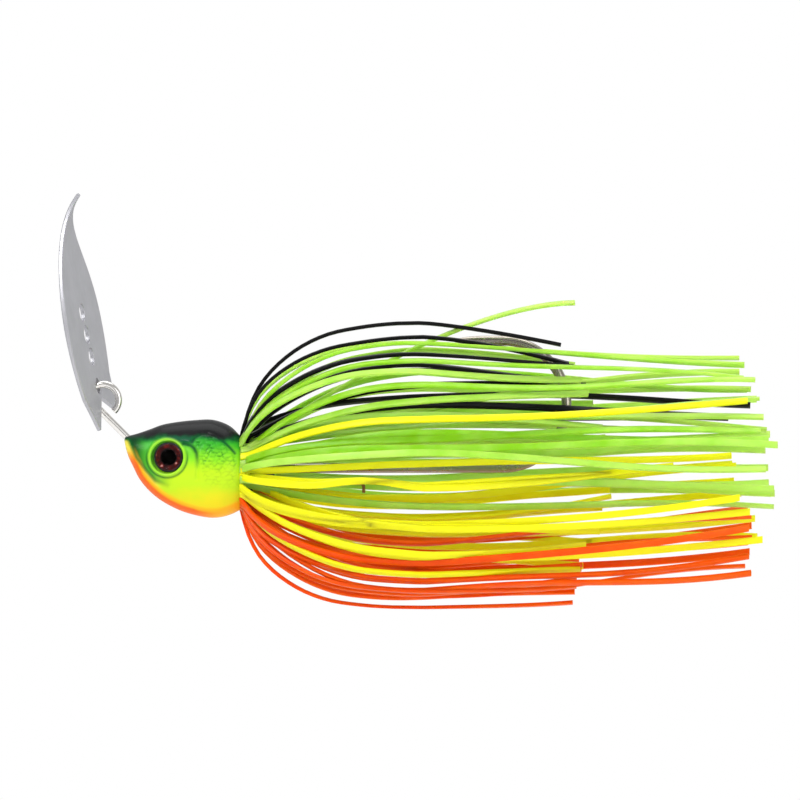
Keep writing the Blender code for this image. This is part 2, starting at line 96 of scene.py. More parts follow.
# %% Floor
FLOOR_Z = -120 * MM
FLOOR_HALF = 1.5


def new_material(name):
    made = bpy.data.materials.new(name)
    made.use_nodes = True
    return made, made.node_tree, made.node_tree.nodes["Principled BSDF"]


def floor():
    corners = [(-1, -1), (1, -1), (1, 1), (-1, 1)]
    mesh = bpy.data.meshes.new("floor")
    spots = [(x * FLOOR_HALF, y * FLOOR_HALF, FLOOR_Z) for x, y in corners]
    mesh.from_pydata(spots, [], [(0, 1, 2, 3)])
    made = bpy.data.objects.new("floor", mesh)
    scene.collection.objects.link(made)
    paper, _, shader = new_material("white_paper")
    shader.inputs["Base Color"].default_value = (0.82, 0.82, 0.82, 1)
    shader.inputs["Roughness"].default_value = 0.9
    mesh.materials.append(paper)
    made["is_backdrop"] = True


floor()

# %% Lights
# Name, place, width and height of the panel, all in metres, and power in watts.
LIGHTS = (
    ("key_light", (-0.25, -0.42, 0.42), (0.35, 0.28), 3.3),
    ("fill_light", (0.42, -0.55, 0.10), (0.40, 0.40), 1.2),
    ("top_light", (0.06, 0.10, 0.55), (0.50, 0.30), 1.5),
)
LIGHT_AIM = VIEW_CENTRE + Vector((0, 0, -10 * MM))
FRONT_BRIGHTNESS, BACK_BRIGHTNESS = 0.56, 1.0


def area_light(name, place, size, watts):
    data = bpy.data.lights.new(name, "AREA")
    data.shape = "RECTANGLE"
    data.size, data.size_y = size
    data.energy = watts
    made = bpy.data.objects.new(name, data)
    made.location = place
    made.rotation_euler = (LIGHT_AIM - Vector(place)).to_track_quat("-Z", "Y").to_euler()
    scene.collection.objects.link(made)


for light in LIGHTS:
    area_light(*light)


def soft_room():
    """White behind the lure, where the panel stands, and a softer grey everywhere else."""
    world = bpy.data.worlds.new("soft_room")
    world.use_nodes = True
    tree = world.node_tree
    way = tree.nodes.new("ShaderNodeTexCoord")
    parts = tree.nodes.new("ShaderNodeSeparateXYZ")
    tree.links.new(way.outputs["Generated"], parts.inputs[0])
    panel = tree.nodes.new("ShaderNodeMapRange")
    panel.interpolation_type = "SMOOTHSTEP"
    tree.links.new(parts.outputs["Y"], panel.inputs["Value"])
    limits = {"From Min": 0.1, "From Max": 0.85, "To Min": FRONT_BRIGHTNESS, "To Max": BACK_BRIGHTNESS}
    for key, value in limits.items():
        panel.inputs[key].default_value = value
    tree.links.new(panel.outputs[0], tree.nodes["Background"].inputs["Strength"])
    tree.nodes["Background"].inputs["Color"].default_value = (1, 1, 1, 1)
    scene.world = world


soft_room()

# %% [markdown]
# ## Shared helpers
# A rule given as a short table of points is read with a smooth cubic through them. Node trees for the
# finishes are built by one small function that makes a node, sets it and wires it in. Round things,
# from wire to eye discs, are rings of points with a skin lofted over them.

# %% Helpers
def shares(table, at):
    """The smooth value of a table of (share, value) at one share, by a cubic through its neighbours."""
    spots = [row[0] for row in table]
    last = len(table) - 2
    k = max(i for i in range(last + 1) if spots[i] <= at or i == 0)

    def slope(i):
        before, after = max(i - 1, 0), min(i + 1, last + 1)
        return (table[after][1] - table[before][1]) / (spots[after] - spots[before])

    span = spots[k + 1] - spots[k]
    t = (at - spots[k]) / span
    a, b = table[k][1], table[k + 1][1]
    return (
        a * (2 * t**3 - 3 * t**2 + 1)
        + b * (3 * t**2 - 2 * t**3)
        + span * slope(k) * (t**3 - 2 * t**2 + t)
        + span * slope(k + 1) * (t**3 - t**2)
    )


def wire_in(tree, made, wires):
    """Sets each input of a node to its value, or wires another node's output into it."""
    for key, value in wires.items():
        if isinstance(value, bpy.types.NodeSocket):
            tree.links.new(value, made.inputs[key])
        else:
            made.inputs[key].default_value = value


def node(tree, kind, wires=None, **settings):
    """A node with its settings; wires maps its inputs to a value or to another node's output."""
    made = tree.nodes.new(kind)
    for key, value in settings.items():
        setattr(made, key, value)
    wire_in(tree, made, wires or {})
    return made


def maths(tree, operation, *values):
    return node(tree, "ShaderNodeMath", dict(enumerate(values)), operation=operation).outputs[0]


def product(tree, first, *others):
    """All the factors multiplied together."""
    for other in others:
        first = maths(tree, "MULTIPLY", first, other)
    return first


def between(tree, value, low, high):
    """0 below low and 1 above high, with a soft step between them."""
    wires = {"Value": value, "From Min": low, "From Max": high}
    made = node(tree, "ShaderNodeMapRange", wires, interpolation_type="SMOOTHSTEP")
    return made.outputs["Result"]


def mixed(tree, factor, a, b):
    """The colour a where factor is 0 and b where it is 1."""
    a, b = (c if isinstance(c, bpy.types.NodeSocket) else (*c, 1) for c in (a, b))
    return node(tree, "ShaderNodeMix", {0: factor, 6: a, 7: b}, data_type="RGBA").outputs[2]


def object_place(tree):
    return node(tree, "ShaderNodeTexCoord").outputs["Object"]


def noise(tree, place, per_metre, detail=3.0, stretch=None):
    """Soft noise with about this many features in a metre, in 0 to 1."""
    if stretch:
        place = node(tree, "ShaderNodeMapping", {"Vector": place, "Scale": stretch}).outputs[0]
    wires = {"Vector": place, "Scale": per_metre, "Detail": detail}
    return node(tree, "ShaderNodeTexNoise", wires).outputs["Fac"]


def bump(tree, shader, height, depth, strength=0.6):
    made = node(tree, "ShaderNodeBump", {"Height": height, "Distance": depth, "Strength": strength})
    tree.links.new(made.outputs[0], shader.inputs["Normal"])


def attribute(tree, name):
    return node(tree, "ShaderNodeAttribute", attribute_name=name).outputs["Fac"]


def add_piece(name, mesh, material, body, slot, *stands_for):
    """Puts the mesh in the scene as a finished piece that rides on its body."""
    made = bpy.data.objects.new(name, mesh)
    scene.collection.objects.link(made)
    if material:
        mesh.materials.clear()
        mesh.materials.append(material)
    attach(made, body)
    if stands_for:
        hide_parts(*stands_for)
    print(f"{name}: {len(mesh.polygons)} faces")


def smoothed(mesh, sharp):
    """Shades a mesh smooth, but leaves a crease where it turns by more than sharp degrees."""
    mesh.shade_smooth()
    mesh.set_sharp_from_angle(angle=math.radians(sharp))
    return mesh


def mesh_of(bm, name, sharp=None):
    """The finished mesh of a bmesh, with its faces outwards."""
    bmesh.ops.recalc_face_normals(bm, faces=bm.faces)
    mesh = bpy.data.meshes.new(name)
    bm.to_mesh(mesh)
    bm.free()
    mesh.shade_smooth()
    return smoothed(mesh, sharp) if sharp else mesh


def ring_round(centre, across, up, radius, sides):
    """A ring of points round a centre, in the plane of across and up."""
    turns = [2 * math.pi * j / sides for j in range(sides)]
    return [centre + (across * math.cos(t) + up * math.sin(t)) * radius for t in turns]


def loft(bm, rings):
    """A closed skin over rings of points, which all have the same count, with flat ends."""
    rows = [[bm.verts.new(point) for point in ring] for ring in rings]
    for near, far in zip(rows, rows[1:]):
        for k in range(len(near)):
            after = (k + 1) % len(near)
            bm.faces.new((near[k], near[after], far[after], far[k]))
    bm.faces.new(rows[0])
    bm.faces.new(rows[-1])
    return rows


# %% [markdown]
# ## Wires: the eye, the hook and the keeper
# All three are drawn wire, bent flat in the middle plane of the lure. A wire is swept as one round skin
# along its path. Its ends are turned over a little, as a cutter leaves them, and the hook's point is
# ground to a needle.

# %% Sweep a wire
WIRE_SIDES = 24
CUT_CREASE = 50


def rounded(points, step):
    """The path as a smooth curve through its points, with a point about every step."""
    found = []
    for k in range(len(points) - 1):
        before, a = points[max(k - 1, 0)], points[k]
        b, after = points[k + 1], points[min(k + 2, len(points) - 1)]
        count = max(2, round((b - a).length / step))
        for i in range(count):
            t = i / count
            found.append(
                0.5
                * (
                    2 * a
                    + (b - before) * t
                    + (2 * before - 5 * a + 4 * b - after) * t**2
                    + (3 * a - before - 3 * b + after) * t**3
                )
            )
    return found + [points[-1]]


def wire(points, radii):
    """A round skin along a path that lies in the plane across Y."""
    rings = []
    for k, point in enumerate(points):
        along = (points[min(k + 1, len(points) - 1)] - points[max(k - 1, 0)]).normalized()
        across = Vector((0, 1, 0))
        rings.append(ring_round(point, across, along.cross(across), radii[k], WIRE_SIDES))
    bm = bmesh.new()
    loft(bm, rings)
    return bm


def cut_end(points, radii, edge):
    """Rounds both ends of a wire over by the width of the edge."""
    first = (points[1] - points[0]).normalized()
    last = (points[-1] - points[-2]).normalized()
    head = [points[0], points[0] + first * edge * 0.3, points[0] + first * edge]
    tail = [points[-1] - last * edge, points[-1] - last * edge * 0.3, points[-1]]
    path = head + points[1:-1] + tail
    thick = [radii[0] - edge, radii[0] - edge * 0.3, radii[0]] + radii[1:-1]
    return path, thick + [radii[-1], radii[-1] - edge * 0.3, radii[-1] - edge]


# %% Finish for the bright wire
def bright_wire():
    """Nickel-plated stainless wire: nearly a mirror, with fine drawing lines and a few dull spots."""
    made, tree, shader = new_material("bright_wire")
    place = object_place(tree)
    spots = noise(tree, place, 900, 4)
    colour = mixed(tree, spots, (0.86, 0.84, 0.81), (0.62, 0.60, 0.57))
    rough = maths(tree, "MULTIPLY_ADD", spots, 0.16, 0.06)
    wire_in(tree, shader, {"Base Color": colour, "Metallic": 1.0, "Roughness": rough})
    bump(tree, shader, noise(tree, place, 5000, 2), 0.006 * MM, 0.5)
    return made


# %% [markdown]
# ### The wire eye
# One piece of 1 mm wire is cast into the nose. Its leg comes out at 45 degrees, it turns one loop, and
# its cut end stops just short of the leg, which is how the blade is threaded on before it is closed.

# %% Wire eye
EYE_WIRE = 1.0 * MM
LOOP_RADIUS = 2.2 * MM
LOOP_START = math.radians(172)
LOOP_GAP = 0.2 * MM
LOOP_STEPS = 26
LEG_OFFSET = 1.29 * MM
LEG_INSIDE_HEAD = 4.2 * MM
NOSE_X = 3.0 * MM
LEG_DIRECTION = Vector((math.sqrt(0.5), 0, -math.sqrt(0.5)))
LEG_FOOT = Vector((-math.sqrt(0.5), 0, -math.sqrt(0.5))) * LEG_OFFSET
LOOP_END = math.radians(-135) + math.acos((LEG_OFFSET - EYE_WIRE - LOOP_GAP) / LOOP_RADIUS)


def wire_eye():
    inside = (NOSE_X - LEG_FOOT.x) / LEG_DIRECTION.x + LEG_INSIDE_HEAD
    loop_first = Vector((math.cos(LOOP_START), 0, math.sin(LOOP_START))) * LOOP_RADIUS
    leg_top = LEG_FOOT - LEG_DIRECTION * 0.9 * MM
    path = [LEG_FOOT + LEG_DIRECTION * inside * share for share in (1.0, 0.5, 0.2, 0.0)]
    path += [leg_top, leg_top.lerp(loop_first, 0.55) - Vector((0.02 * MM, 0, 0))]
    for k in range(LOOP_STEPS + 1):
        at = LOOP_START + (LOOP_END - LOOP_START) * k / LOOP_STEPS
        path.append(Vector((math.cos(at), 0, math.sin(at))) * LOOP_RADIUS)
    points = rounded(path, 0.18 * MM)
    points, radii = cut_end(points, [EYE_WIRE / 2] * len(points), 0.08 * MM)
    return mesh_of(wire(points, radii), "wire_eye_skin", CUT_CREASE)


BRIGHT_WIRE = bright_wire()
add_piece("wire_eye_skin", wire_eye(), BRIGHT_WIRE, "lure", "eye_wire", "wire_eye")

# %% [markdown]
# ### The hook
# A jig hook of 1.4 mm wire: a straight shank, one round bend, and a point that runs back level and
# ends in a needle with a small cut barb under it. The wire is plated in a warm grey.

# %% Hook
HOOK_WIRE = 1.4 * MM
HEAD_LENGTH = 16.2 * MM
HEAD_BACK_X = NOSE_X + HEAD_LENGTH
HOOK_START_X = HEAD_BACK_X - 9.7 * MM
HOOK_BEND_X = HEAD_BACK_X + 36.8 * MM
HOOK_SHANK_Z = -9.5 * MM
HOOK_GAP = 17.8 * MM
HOOK_POINT = 7.4 * MM
BARB_FROM_POINT = 4.2 * MM
BARB_LENGTH, BARB_LIFT, BARB_HALF_WIDTH = 1.7 * MM, 1.0 * MM, 0.26 * MM
SHANK_STEPS, BEND_STEPS, POINT_STEPS = 60, 48, 30
# Share of the point's length, and the wire's thickness there.
NEEDLE = ((0.0, 1.0), (0.35, 1.0), (0.65, 0.83), (0.85, 0.47), (0.97, 0.12), (1.0, 0.05))


def barb(bm_target):
    """The barb is a thin wedge lifted off the inner side of the point."""
    top = HOOK_SHANK_Z + HOOK_GAP
    foot = Vector((HOOK_BEND_X - HOOK_POINT + BARB_FROM_POINT, 0, top - 0.25 * MM))
    front, back = foot - Vector((1.1 * MM, 0, 0)), foot + Vector((0.5 * MM, 0, 0.1 * MM))
    tip = foot + Vector((BARB_LENGTH, 0, -BARB_LIFT))
    rings = []
    for share in (0.0, 0.3, 0.6, 0.85, 1.0):
        half = BARB_HALF_WIDTH * (1 - 0.75 * share)
        low, high = front.lerp(tip, share), back.lerp(tip, share)
        middle = (low + high) / 2
        thick = (high - low).length / 2 * (1 - 0.4 * share) + 0.02 * MM
        lean = (high - low).normalized() if share < 1 else Vector((0.5, 0, 0.87))
        ring = []
        for j in range(10):
            turn = 2 * math.pi * j / 10
            side = Vector((0, half * math.sin(turn), 0))
            ring.append(middle + lean * thick * math.cos(turn) + side)
        rings.append(ring)
    loft(bm_target, rings)


def united(mesh, tool_mesh, name, operation):
    """mesh joined with or cut by tool_mesh, as a new plain mesh."""
    target = bpy.data.objects.new(name, mesh)
    tool = bpy.data.objects.new(name + "_tool", tool_mesh)
    for each in (target, tool):
        scene.collection.objects.link(each)
    made = target.modifiers.new("cut", "BOOLEAN")
    made.operation = operation
    made.solver = "EXACT"
    made.object = tool
    bpy.context.view_layer.update()
    graph = bpy.context.evaluated_depsgraph_get()
    found = bpy.data.meshes.new_from_object(target.evaluated_get(graph))
    bpy.data.objects.remove(target)
    bpy.data.objects.remove(tool)
    return found


def hook():
    bend = HOOK_GAP / 2
    path = [Vector((HOOK_START_X, 0, HOOK_SHANK_Z)), Vector((HOOK_BEND_X, 0, HOOK_SHANK_Z))]
    points = [path[0].lerp(path[1], k / SHANK_STEPS) for k in range(SHANK_STEPS + 1)]
    for k in range(1, BEND_STEPS + 1):
        at = -math.pi / 2 + math.pi * k / BEND_STEPS
        up = HOOK_SHANK_Z + bend + bend * math.sin(at)
        points.append(Vector((HOOK_BEND_X + bend * math.cos(at), 0, up)))
    radii = [HOOK_WIRE / 2] * len(points)
    for k in range(1, POINT_STEPS + 1):
        share = k / POINT_STEPS
        points.append(Vector((HOOK_BEND_X - HOOK_POINT * share, 0, HOOK_SHANK_Z + HOOK_GAP)))
        radii.append(HOOK_WIRE / 2 * max(0.05, shares(NEEDLE, share)))
    bm = wire(points, radii)
    wedge = bmesh.new()
    barb(wedge)
    mesh = united(mesh_of(bm, "hook"), mesh_of(wedge, "barb"), "hook", "UNION")
    return smoothed(mesh, CUT_CREASE)


def plated_hook():
    """Dull nickel over steel: warm grey, a little cloudy, with faint lines along the wire."""
    made, tree, shader = new_material("plated_hook")
    place = object_place(tree)
    cloud = noise(tree, place, 450, 4)
    colour = mixed(tree, cloud, (0.46, 0.42, 0.36), (0.27, 0.245, 0.21))
    rough = maths(tree, "MULTIPLY_ADD", cloud, 0.2, 0.18)
    wire_in(tree, shader, {"Base Color": colour, "Metallic": 1.0, "Roughness": rough})
    bump(tree, shader, noise(tree, place, 4000, 3), 0.008 * MM, 0.5)
    return made


add_piece("hook_skin", hook(), plated_hook(), "lure", "hook_steel", "hook")

# %% [markdown]
# ### The bait keeper
# A thin bronze wire leaves the head under the shank. Its end is turned down into a short spur that
# holds a soft bait from sliding back.

# %% Bait keeper
KEEPER_WIRE = 0.45 * MM
KEEPER_Z = -11.7 * MM
KEEPER_END_X = HEAD_BACK_X + 17.3 * MM
KEEPER_SPUR = 1.3 * MM
KEEPER_TURN = 0.5 * MM


def bait_keeper():
    corner = Vector((KEEPER_END_X, 0, KEEPER_Z))
    start = Vector((HEAD_BACK_X + 0.3 * MM, 0, KEEPER_Z))
    points = [start.lerp(corner - Vector((KEEPER_TURN, 0, 0)), k / 24) for k in range(25)]
    for k in range(1, 9):
        turn = math.pi / 2 * k / 8
        back = KEEPER_TURN * (1 - math.sin(turn))
        down = KEEPER_TURN * (1 - math.cos(turn))
        points.append(corner - Vector((back, 0, down)))
    points.append(corner - Vector((0, 0, KEEPER_SPUR)))
    points, radii = cut_end(points, [KEEPER_WIRE / 2] * len(points), 0.05 * MM)
    return mesh_of(wire(points, radii), "bait_keeper_skin", CUT_CREASE)


def bronze_wire():
    """Bronze, a little tarnished in patches."""
    made, tree, shader = new_material("bronze_wire")
    tarnish = noise(tree, object_place(tree), 1500, 4)
    colour = mixed(tree, tarnish, (0.42, 0.20, 0.09), (0.16, 0.07, 0.03))
    wire_in(tree, shader, {"Base Color": colour, "Metallic": 0.9, "Roughness": 0.4})
    return made


add_piece("bait_keeper_skin", bait_keeper(), bronze_wire(), "lure", "keeper_wire", "bait_keeper")

# %% [markdown]
# ## The blade
# A leaf of 0.6 mm stainless sheet, stamped, holed and bowed. It hangs by one hole on the wire eye, and
# the notch in its folded foot straddles the leg, which lets it wobble but not turn over. It is built as
# two fine skins with a rounded edge between them, then the holes and the notch are cut through.

# %% Blade shape
BLADE_TOP, BLADE_FOOT = 29.9 * MM, 3.4 * MM
BLADE_HALF_WIDTH, BLADE_THICKNESS = 9.0 * MM, 0.6 * MM
BLADE_STAND_OFF, BLADE_BOW, BLADE_BOW_POWER = 0.84 * MM, 3.5 * MM, 8.0
BLADE_FOLD = math.radians(14)
BLADE_POSE = Euler((math.radians(16), math.radians(-1.2), math.radians(-12.6))).to_matrix()
LINK_HOLE_RADIUS = EYE_WIRE / 2 + 0.60 * MM
LINK_HOLE_ALONG = math.sqrt(LOOP_RADIUS**2 - BLADE_STAND_OFF**2)
LINE_TIE_RADIUS, LINE_TIE_FIRST, LINE_TIE_PITCH = 1.3 * MM, 6.3 * MM, 3.2 * MM
NOTCH_HALF_WIDTH = 5.6 * MM
BLADE_EDGE = 0.12 * MM
LEAF_FROM, LEAF_POINTED, LEAF_FULL, FOOT_NARROWER = 0.23, 1.25, 0.8, 0.2
HOLE_SIDES, HOLE_FLARE = 56, 0.06 * MM
PUNCH_REACH, PUNCH_WIDER = 1.2 * MM, 0.9 * MM
BRIDGE, NOTCH_APEX_HALF = 0.75 * MM, 0.25 * MM


def blade_half_width(along):
    """A leaf: a pointed top, widest a third of the way up, and narrower again at the foot."""
    up = max(along, 0) / BLADE_TOP
    turn = math.pi * (LEAF_FROM + (1 - LEAF_FROM) * up)
    power = LEAF_POINTED if turn > math.pi / 2 else LEAF_FULL
    foot = 1 - FOOT_NARROWER * max(-along, 0) / BLADE_FOOT
    return max(BLADE_HALF_WIDTH * foot * abs(math.sin(turn)) ** power, 0.12 * MM)


def blade_point(across, along, out):
    """A point of the blade in its own axes: X out of its back, Y across it and Z up it."""
    fold, above = LINK_HOLE_ALONG, BLADE_TOP - LINK_HOLE_ALONG
    if along >= fold:
        up = (along - fold) / above
        x = -BLADE_BOW * (up - up**BLADE_BOW_POWER)
        slope = -BLADE_BOW / above * (1 - BLADE_BOW_POWER * up ** (BLADE_BOW_POWER - 1))
    else:
        x = (fold - along) * math.sin(BLADE_FOLD)
        along = fold - (fold - along) * math.cos(BLADE_FOLD)
        slope = -math.tan(BLADE_FOLD)
    normal = Vector((1, 0, -slope)).normalized()
    return BLADE_POSE @ (Vector((x - BLADE_STAND_OFF, across, along)) + normal * out)


def blade_skin():
    """The whole leaf, without holes: two faces with a rounded edge between them."""
    rows, columns = 150, 20
    rings = []
    for row in range(rows + 1):
        along = BLADE_TOP - (BLADE_TOP + BLADE_FOOT) * row / rows
        half, thick = blade_half_width(along), BLADE_THICKNESS / 2
        if row in (0, rows):
            thick -= BLADE_EDGE * 0.6
        inner = half - min(BLADE_EDGE, half / 2)
        flat = [inner * (2 * k / columns - 1) for k in range(columns + 1)]
        edge = thick - BLADE_EDGE
        ring = [blade_point(y, along, thick) for y in flat]
        ring += [blade_point(half, along, out) for out in (edge, -edge)]
        ring += [blade_point(y, along, -thick) for y in reversed(flat)]
        ring += [blade_point(-half, along, out) for out in (-edge, edge)]
        rings.append(ring)
    bm = bmesh.new()
    loft(bm, rings)
    return mesh_of(bm, "blade_skin")


def hole_tool(bm, along, radius):
    """A punch with a slight flare at both faces, which leaves a broken edge round the hole."""
    thick = BLADE_THICKNESS / 2
    rings = []
    waist = thick - HOLE_FLARE
    flares = ((-PUNCH_REACH, PUNCH_WIDER), (-waist, 0), (waist, 0), (PUNCH_REACH, PUNCH_WIDER))
    for out, wider in flares:
        centre = blade_point(0, along, out)
        across = blade_point(1 * MM, along, out) - centre
        through = blade_point(0, along, 1 * MM) - blade_point(0, along, -1 * MM)
        up = across.cross(through).normalized()
        across.normalize()
        rings.append(ring_round(centre, across, up, radius + wider, HOLE_SIDES))
    loft(bm, rings)


def notch_tool(bm):
    """A wedge that opens the foot up to the bridge of metal left under the link hole."""
    apex = LINK_HOLE_ALONG - LINK_HOLE_RADIUS - BRIDGE
    deep = BLADE_FOOT + 2.0 * MM
    flare = NOTCH_HALF_WIDTH * (apex + deep) / (apex + BLADE_FOOT)
    outline = [(-flare, -deep), (flare, -deep), (NOTCH_APEX_HALF, apex), (-NOTCH_APEX_HALF, apex)]
    loft(bm, [[blade_point(a, b, out) for a, b in outline] for out in (-2 * MM, 2 * MM)])


# %% Cut the holes and the notch
BLADE_CREASE = 28


def blade():
    mesh = blade_skin()
    spots = [(LINK_HOLE_ALONG, LINK_HOLE_RADIUS)]
    spots += [(LINE_TIE_FIRST + k * LINE_TIE_PITCH, LINE_TIE_RADIUS) for k in range(3)]
    for along, radius in spots:
        tool = bmesh.new()
        hole_tool(tool, along, radius)
        mesh = united(mesh, mesh_of(tool, "punch"), "blade", "DIFFERENCE")
    tool = bmesh.new()
    notch_tool(tool)
    mesh = united(mesh, mesh_of(tool, "notch"), "blade", "DIFFERENCE")
    return smoothed(mesh, BLADE_CREASE)


def satin_stainless():
    """Tumbled stainless sheet: satin, with faint scratches every way and a slightly cloudy grey."""
    made, tree, shader = new_material("satin_stainless")
    place = object_place(tree)
    cloud = noise(tree, place, 220, 5)
    colour = mixed(tree, cloud, (0.50, 0.50, 0.53), (0.38, 0.38, 0.405))
    grain = noise(tree, place, 3500, 3, (1, 1, 0.18))
    rough = maths(tree, "MULTIPLY_ADD", grain, 0.22, 0.38)
    wire_in(tree, shader, {"Base Color": colour, "Metallic": 1.0, "Roughness": rough})
    bump(tree, shader, grain, 0.012 * MM, 0.55)
    return made


add_piece("blade_skin", blade(), satin_stainless(), "blade", "stainless", "blade")

# %% [markdown]
# ## The head
# Lead cast in a mould in the shape of a minnow's head, with scales, a gill edge and a ring round the
# eye, then sprayed: near-black on the back, green down the sides into chartreuse, and orange along the
# belly, under a clear gloss. The skin follows the outline and width rules of the solid, finely
# divided, so that the cast detail is real relief. The eye sockets and the bores are cut afterwards.

# %% Head rules
HEAD_HALF_WIDTH = 5.0 * MM
COLLAR_AXIS_Z, COLLAR_LENGTH = -10.2 * MM, 4.8 * MM
COLLAR_RADIUS, COLLAR_BEAD = 2.3 * MM, 0.3 * MM
# Each row: share of the length, top and bottom in millimetres, and share of the half width.
HEAD_ROWS = (
    (0.000, -5.15, -5.75, 0.05),
    (0.010, -5.05, -6.60, 0.20),
    (0.035, -4.98, -7.90, 0.33),
    (0.075, -4.86, -9.30, 0.45),
    (0.130, -4.60, -11.05, 0.56),
    (0.220, -4.10, -12.80, 0.68),
    (0.330, -3.45, -14.20, 0.79),
    (0.480, -3.02, -15.45, 0.91),
    (0.620, -2.80, -16.15, 0.98),
    (0.750, -2.74, -16.48, 1.00),
    (0.850, -3.15, -16.35, 0.99),
    (0.930, -3.85, -15.95, 0.95),
    (1.000, -5.00, -15.40, 0.88),
)
HEAD_TOPS, HEAD_BOTTOMS = ([(row[0], row[k] * MM) for row in HEAD_ROWS] for k in (1, 2))
HEAD_WIDTHS = [(row[0], row[3]) for row in HEAD_ROWS]


def head_section(share):
    """(middle height, half height, half width) of the head at a share of its length."""
    top, bottom = shares(HEAD_TOPS, share), shares(HEAD_BOTTOMS, share)
    return (top + bottom) / 2, (top - bottom) / 2, HEAD_HALF_WIDTH * shares(HEAD_WIDTHS, share)


EYE_X, EYE_Z, EYE_TURN = NOSE_X + 6.0 * MM, -8.0 * MM, math.radians(17)
EYE_DIAMETER, EYE_RECESS = 4.2 * MM, 1.0 * MM
SOCKET_RADIUS = EYE_DIAMETER / 2 + 0.25 * MM


def eye_out(side):
    """The way the eye looks: outwards, and turned a little towards the nose."""
    return Vector((-math.sin(EYE_TURN), side * math.cos(EYE_TURN), 0))


def eye_floor(side):
    """The middle of the floor of the eye's socket."""
    middle, half_height, half_width = head_section((EYE_X - NOSE_X) / HEAD_LENGTH)
    up = (EYE_Z - middle) / half_height
    surface = Vector((EYE_X, side * half_width * math.sqrt(1 - up**2), EYE_Z))
    return surface - eye_out(side) * EYE_RECESS


# %% Cast detail on the head
def step(value, low, high):
    """0 below low and 1 above high, with a soft step between them, for arrays of points."""
    t = np.clip((value - low) / (high - low), 0, 1)
    return t * t * (3 - 2 * t)


def line_distance(x, z, points):
    """How far each (x, z) is from a chain of straight lines, in millimetres."""
    best = np.full(x.shape, 1e9)
    for (x0, z0), (x1, z1) in zip(points, points[1:]):
        dx, dz = x1 - x0, z1 - z0
        t = np.clip(((x - x0) * dx + (z - z0) * dz) / (dx * dx + dz * dz), 0, 1)
        best = np.minimum(best, np.hypot(x - x0 - t * dx, z - z0 - t * dz))
    return best


def groove(distance, width):
    """1 on a line, falling away to either side of it."""
    return np.exp(-((distance / width) ** 2))


def read(table, at):
    """The value of a table of (place, value) at each place, on straight lines between its rows."""
    return np.interp(at, *zip(*table))


# Chains of (back from the loop, height) on the side of the head, in millimetres.
GILL = ((11.3, -6.1), (12.2, -6.3), (12.8, -6.75), (13.15, -7.45), (13.3, -8.7), (13.2, -11.0))
SHOULDER = (
    (12.5, -5.9), (12.9, -5.3), (13.8, -4.8), (14.7, -4.7),
    (16.0, -5.2), (17.0, -5.9), (17.9, -6.75), (18.5, -7.45),
)
JAW = ((3.6, -5.6), (4.7, -8.0), (6.1, -9.9), (7.35, -11.3), (9.1, -12.0))
# The scales end under the shoulder line, and begin behind the gill (here height comes first).
SCALE_ROOF = (
    (12.5, -6.1), (12.9, -5.6), (13.8, -5.1), (14.7, -5.0),
    (16.0, -5.5), (17.0, -6.2), (17.9, -7.1), (18.5, -7.9),
)
SCALE_FRONT = ((-12.5, 14.4), (-8.5, 13.5), (-7.0, 13.2), (-6.0, 12.6), (-5.2, 13.2))
SCALE_PITCH_X, SCALE_PITCH_Z, SCALE_DROP = 1.0, 0.55, 0.55
EYE_RING, EYE_RING_WIDTH, UNDER_EYE, UNDER_EYE_WIDTH = 2.5, 0.2, 2.86, 0.15
# How far each mark stands out of the skin, in millimetres; the cut ones are below zero.
RELIEF = {"eye_ring": 0.20, "gill": -0.26, "shoulder": -0.16, "scales": -0.2, "jaw": -0.08}


def scale_edges(x, z):
    """How far each point is from the nearest scale edge, in rows; the rows are staggered and uneven."""
    x = x + 0.22 * np.sin(1.7 * z + 0.9 * x) + 0.12 * np.sin(3.1 * x - 2.3 * z)
    z = z + 0.10 * np.sin(2.1 * x + 1.3 * z) + 0.06 * np.sin(4.3 * x - 1.1 * z)
    first = np.floor(z / SCALE_PITCH_Z)
    best = np.full(x.shape, 1e9)
    for row in (first - 1, first, first + 1, first + 2):
        arc = np.abs(np.sin(np.pi * (x / SCALE_PITCH_X + 0.5 * np.mod(row, 2))))
        best = np.minimum(best, np.abs(z / SCALE_PITCH_Z - row + SCALE_DROP * arc))
    return best


def cast_relief(x, z):
    """Masks of 0 to 1 at points of the side, in millimetres: one for each cast mark, and the face."""
    from_eye = np.hypot(x - EYE_X / MM, z - EYE_Z / MM)
    # The arc under the eye covers only the lower side. It is also painted dark later, as a painted
    # shadow under the raised eye ring.
    under = groove(from_eye - UNDER_EYE, UNDER_EYE_WIDTH) * step(EYE_Z / MM - z, -2.0, 0.6)
    jaw = groove(line_distance(x, z, JAW), 0.28) * (1 - 0.8 * step(x, 6.5, 9.3))
    line = read(JAW, x)
    uneven = 0.62 + 0.38 * np.sin(2.3 * x + 1.1 * z) * np.sin(1.9 * z - 0.7 * x)
    front = read(SCALE_FRONT, z)
    cheek = step(x, front, front + 0.35) * (1 - step(x, 18.3, 19.0)) * step(z, -12.8, -11.0)
    cheek = cheek * (0.3 + 0.7 * step(z, -10.5, -7.4))
    return {
        "eye_ring": groove(from_eye - EYE_RING, EYE_RING_WIDTH),
        "gill": groove(line_distance(x, z, GILL), 0.26),
        "shoulder": groove(line_distance(x, z, SHOULDER), 0.22),
        "scales": groove(scale_edges(x, z), 0.2) * uneven * cheek * (z < read(SCALE_ROOF, x)),
        "jaw": np.maximum(jaw, under),
        "face": step(z, line - 0.1, line + 0.25) * (1 - step(x, 6.8, 10.2)),
    }


def ring_across(x, middle, half_height, half_width, sides):
    """An oval ring of points across the lure at x."""
    turns = [2 * math.pi * j / sides for j in range(sides)]
    return [Vector((x, half_width * math.sin(t), middle + half_height * math.cos(t))) for t in turns]


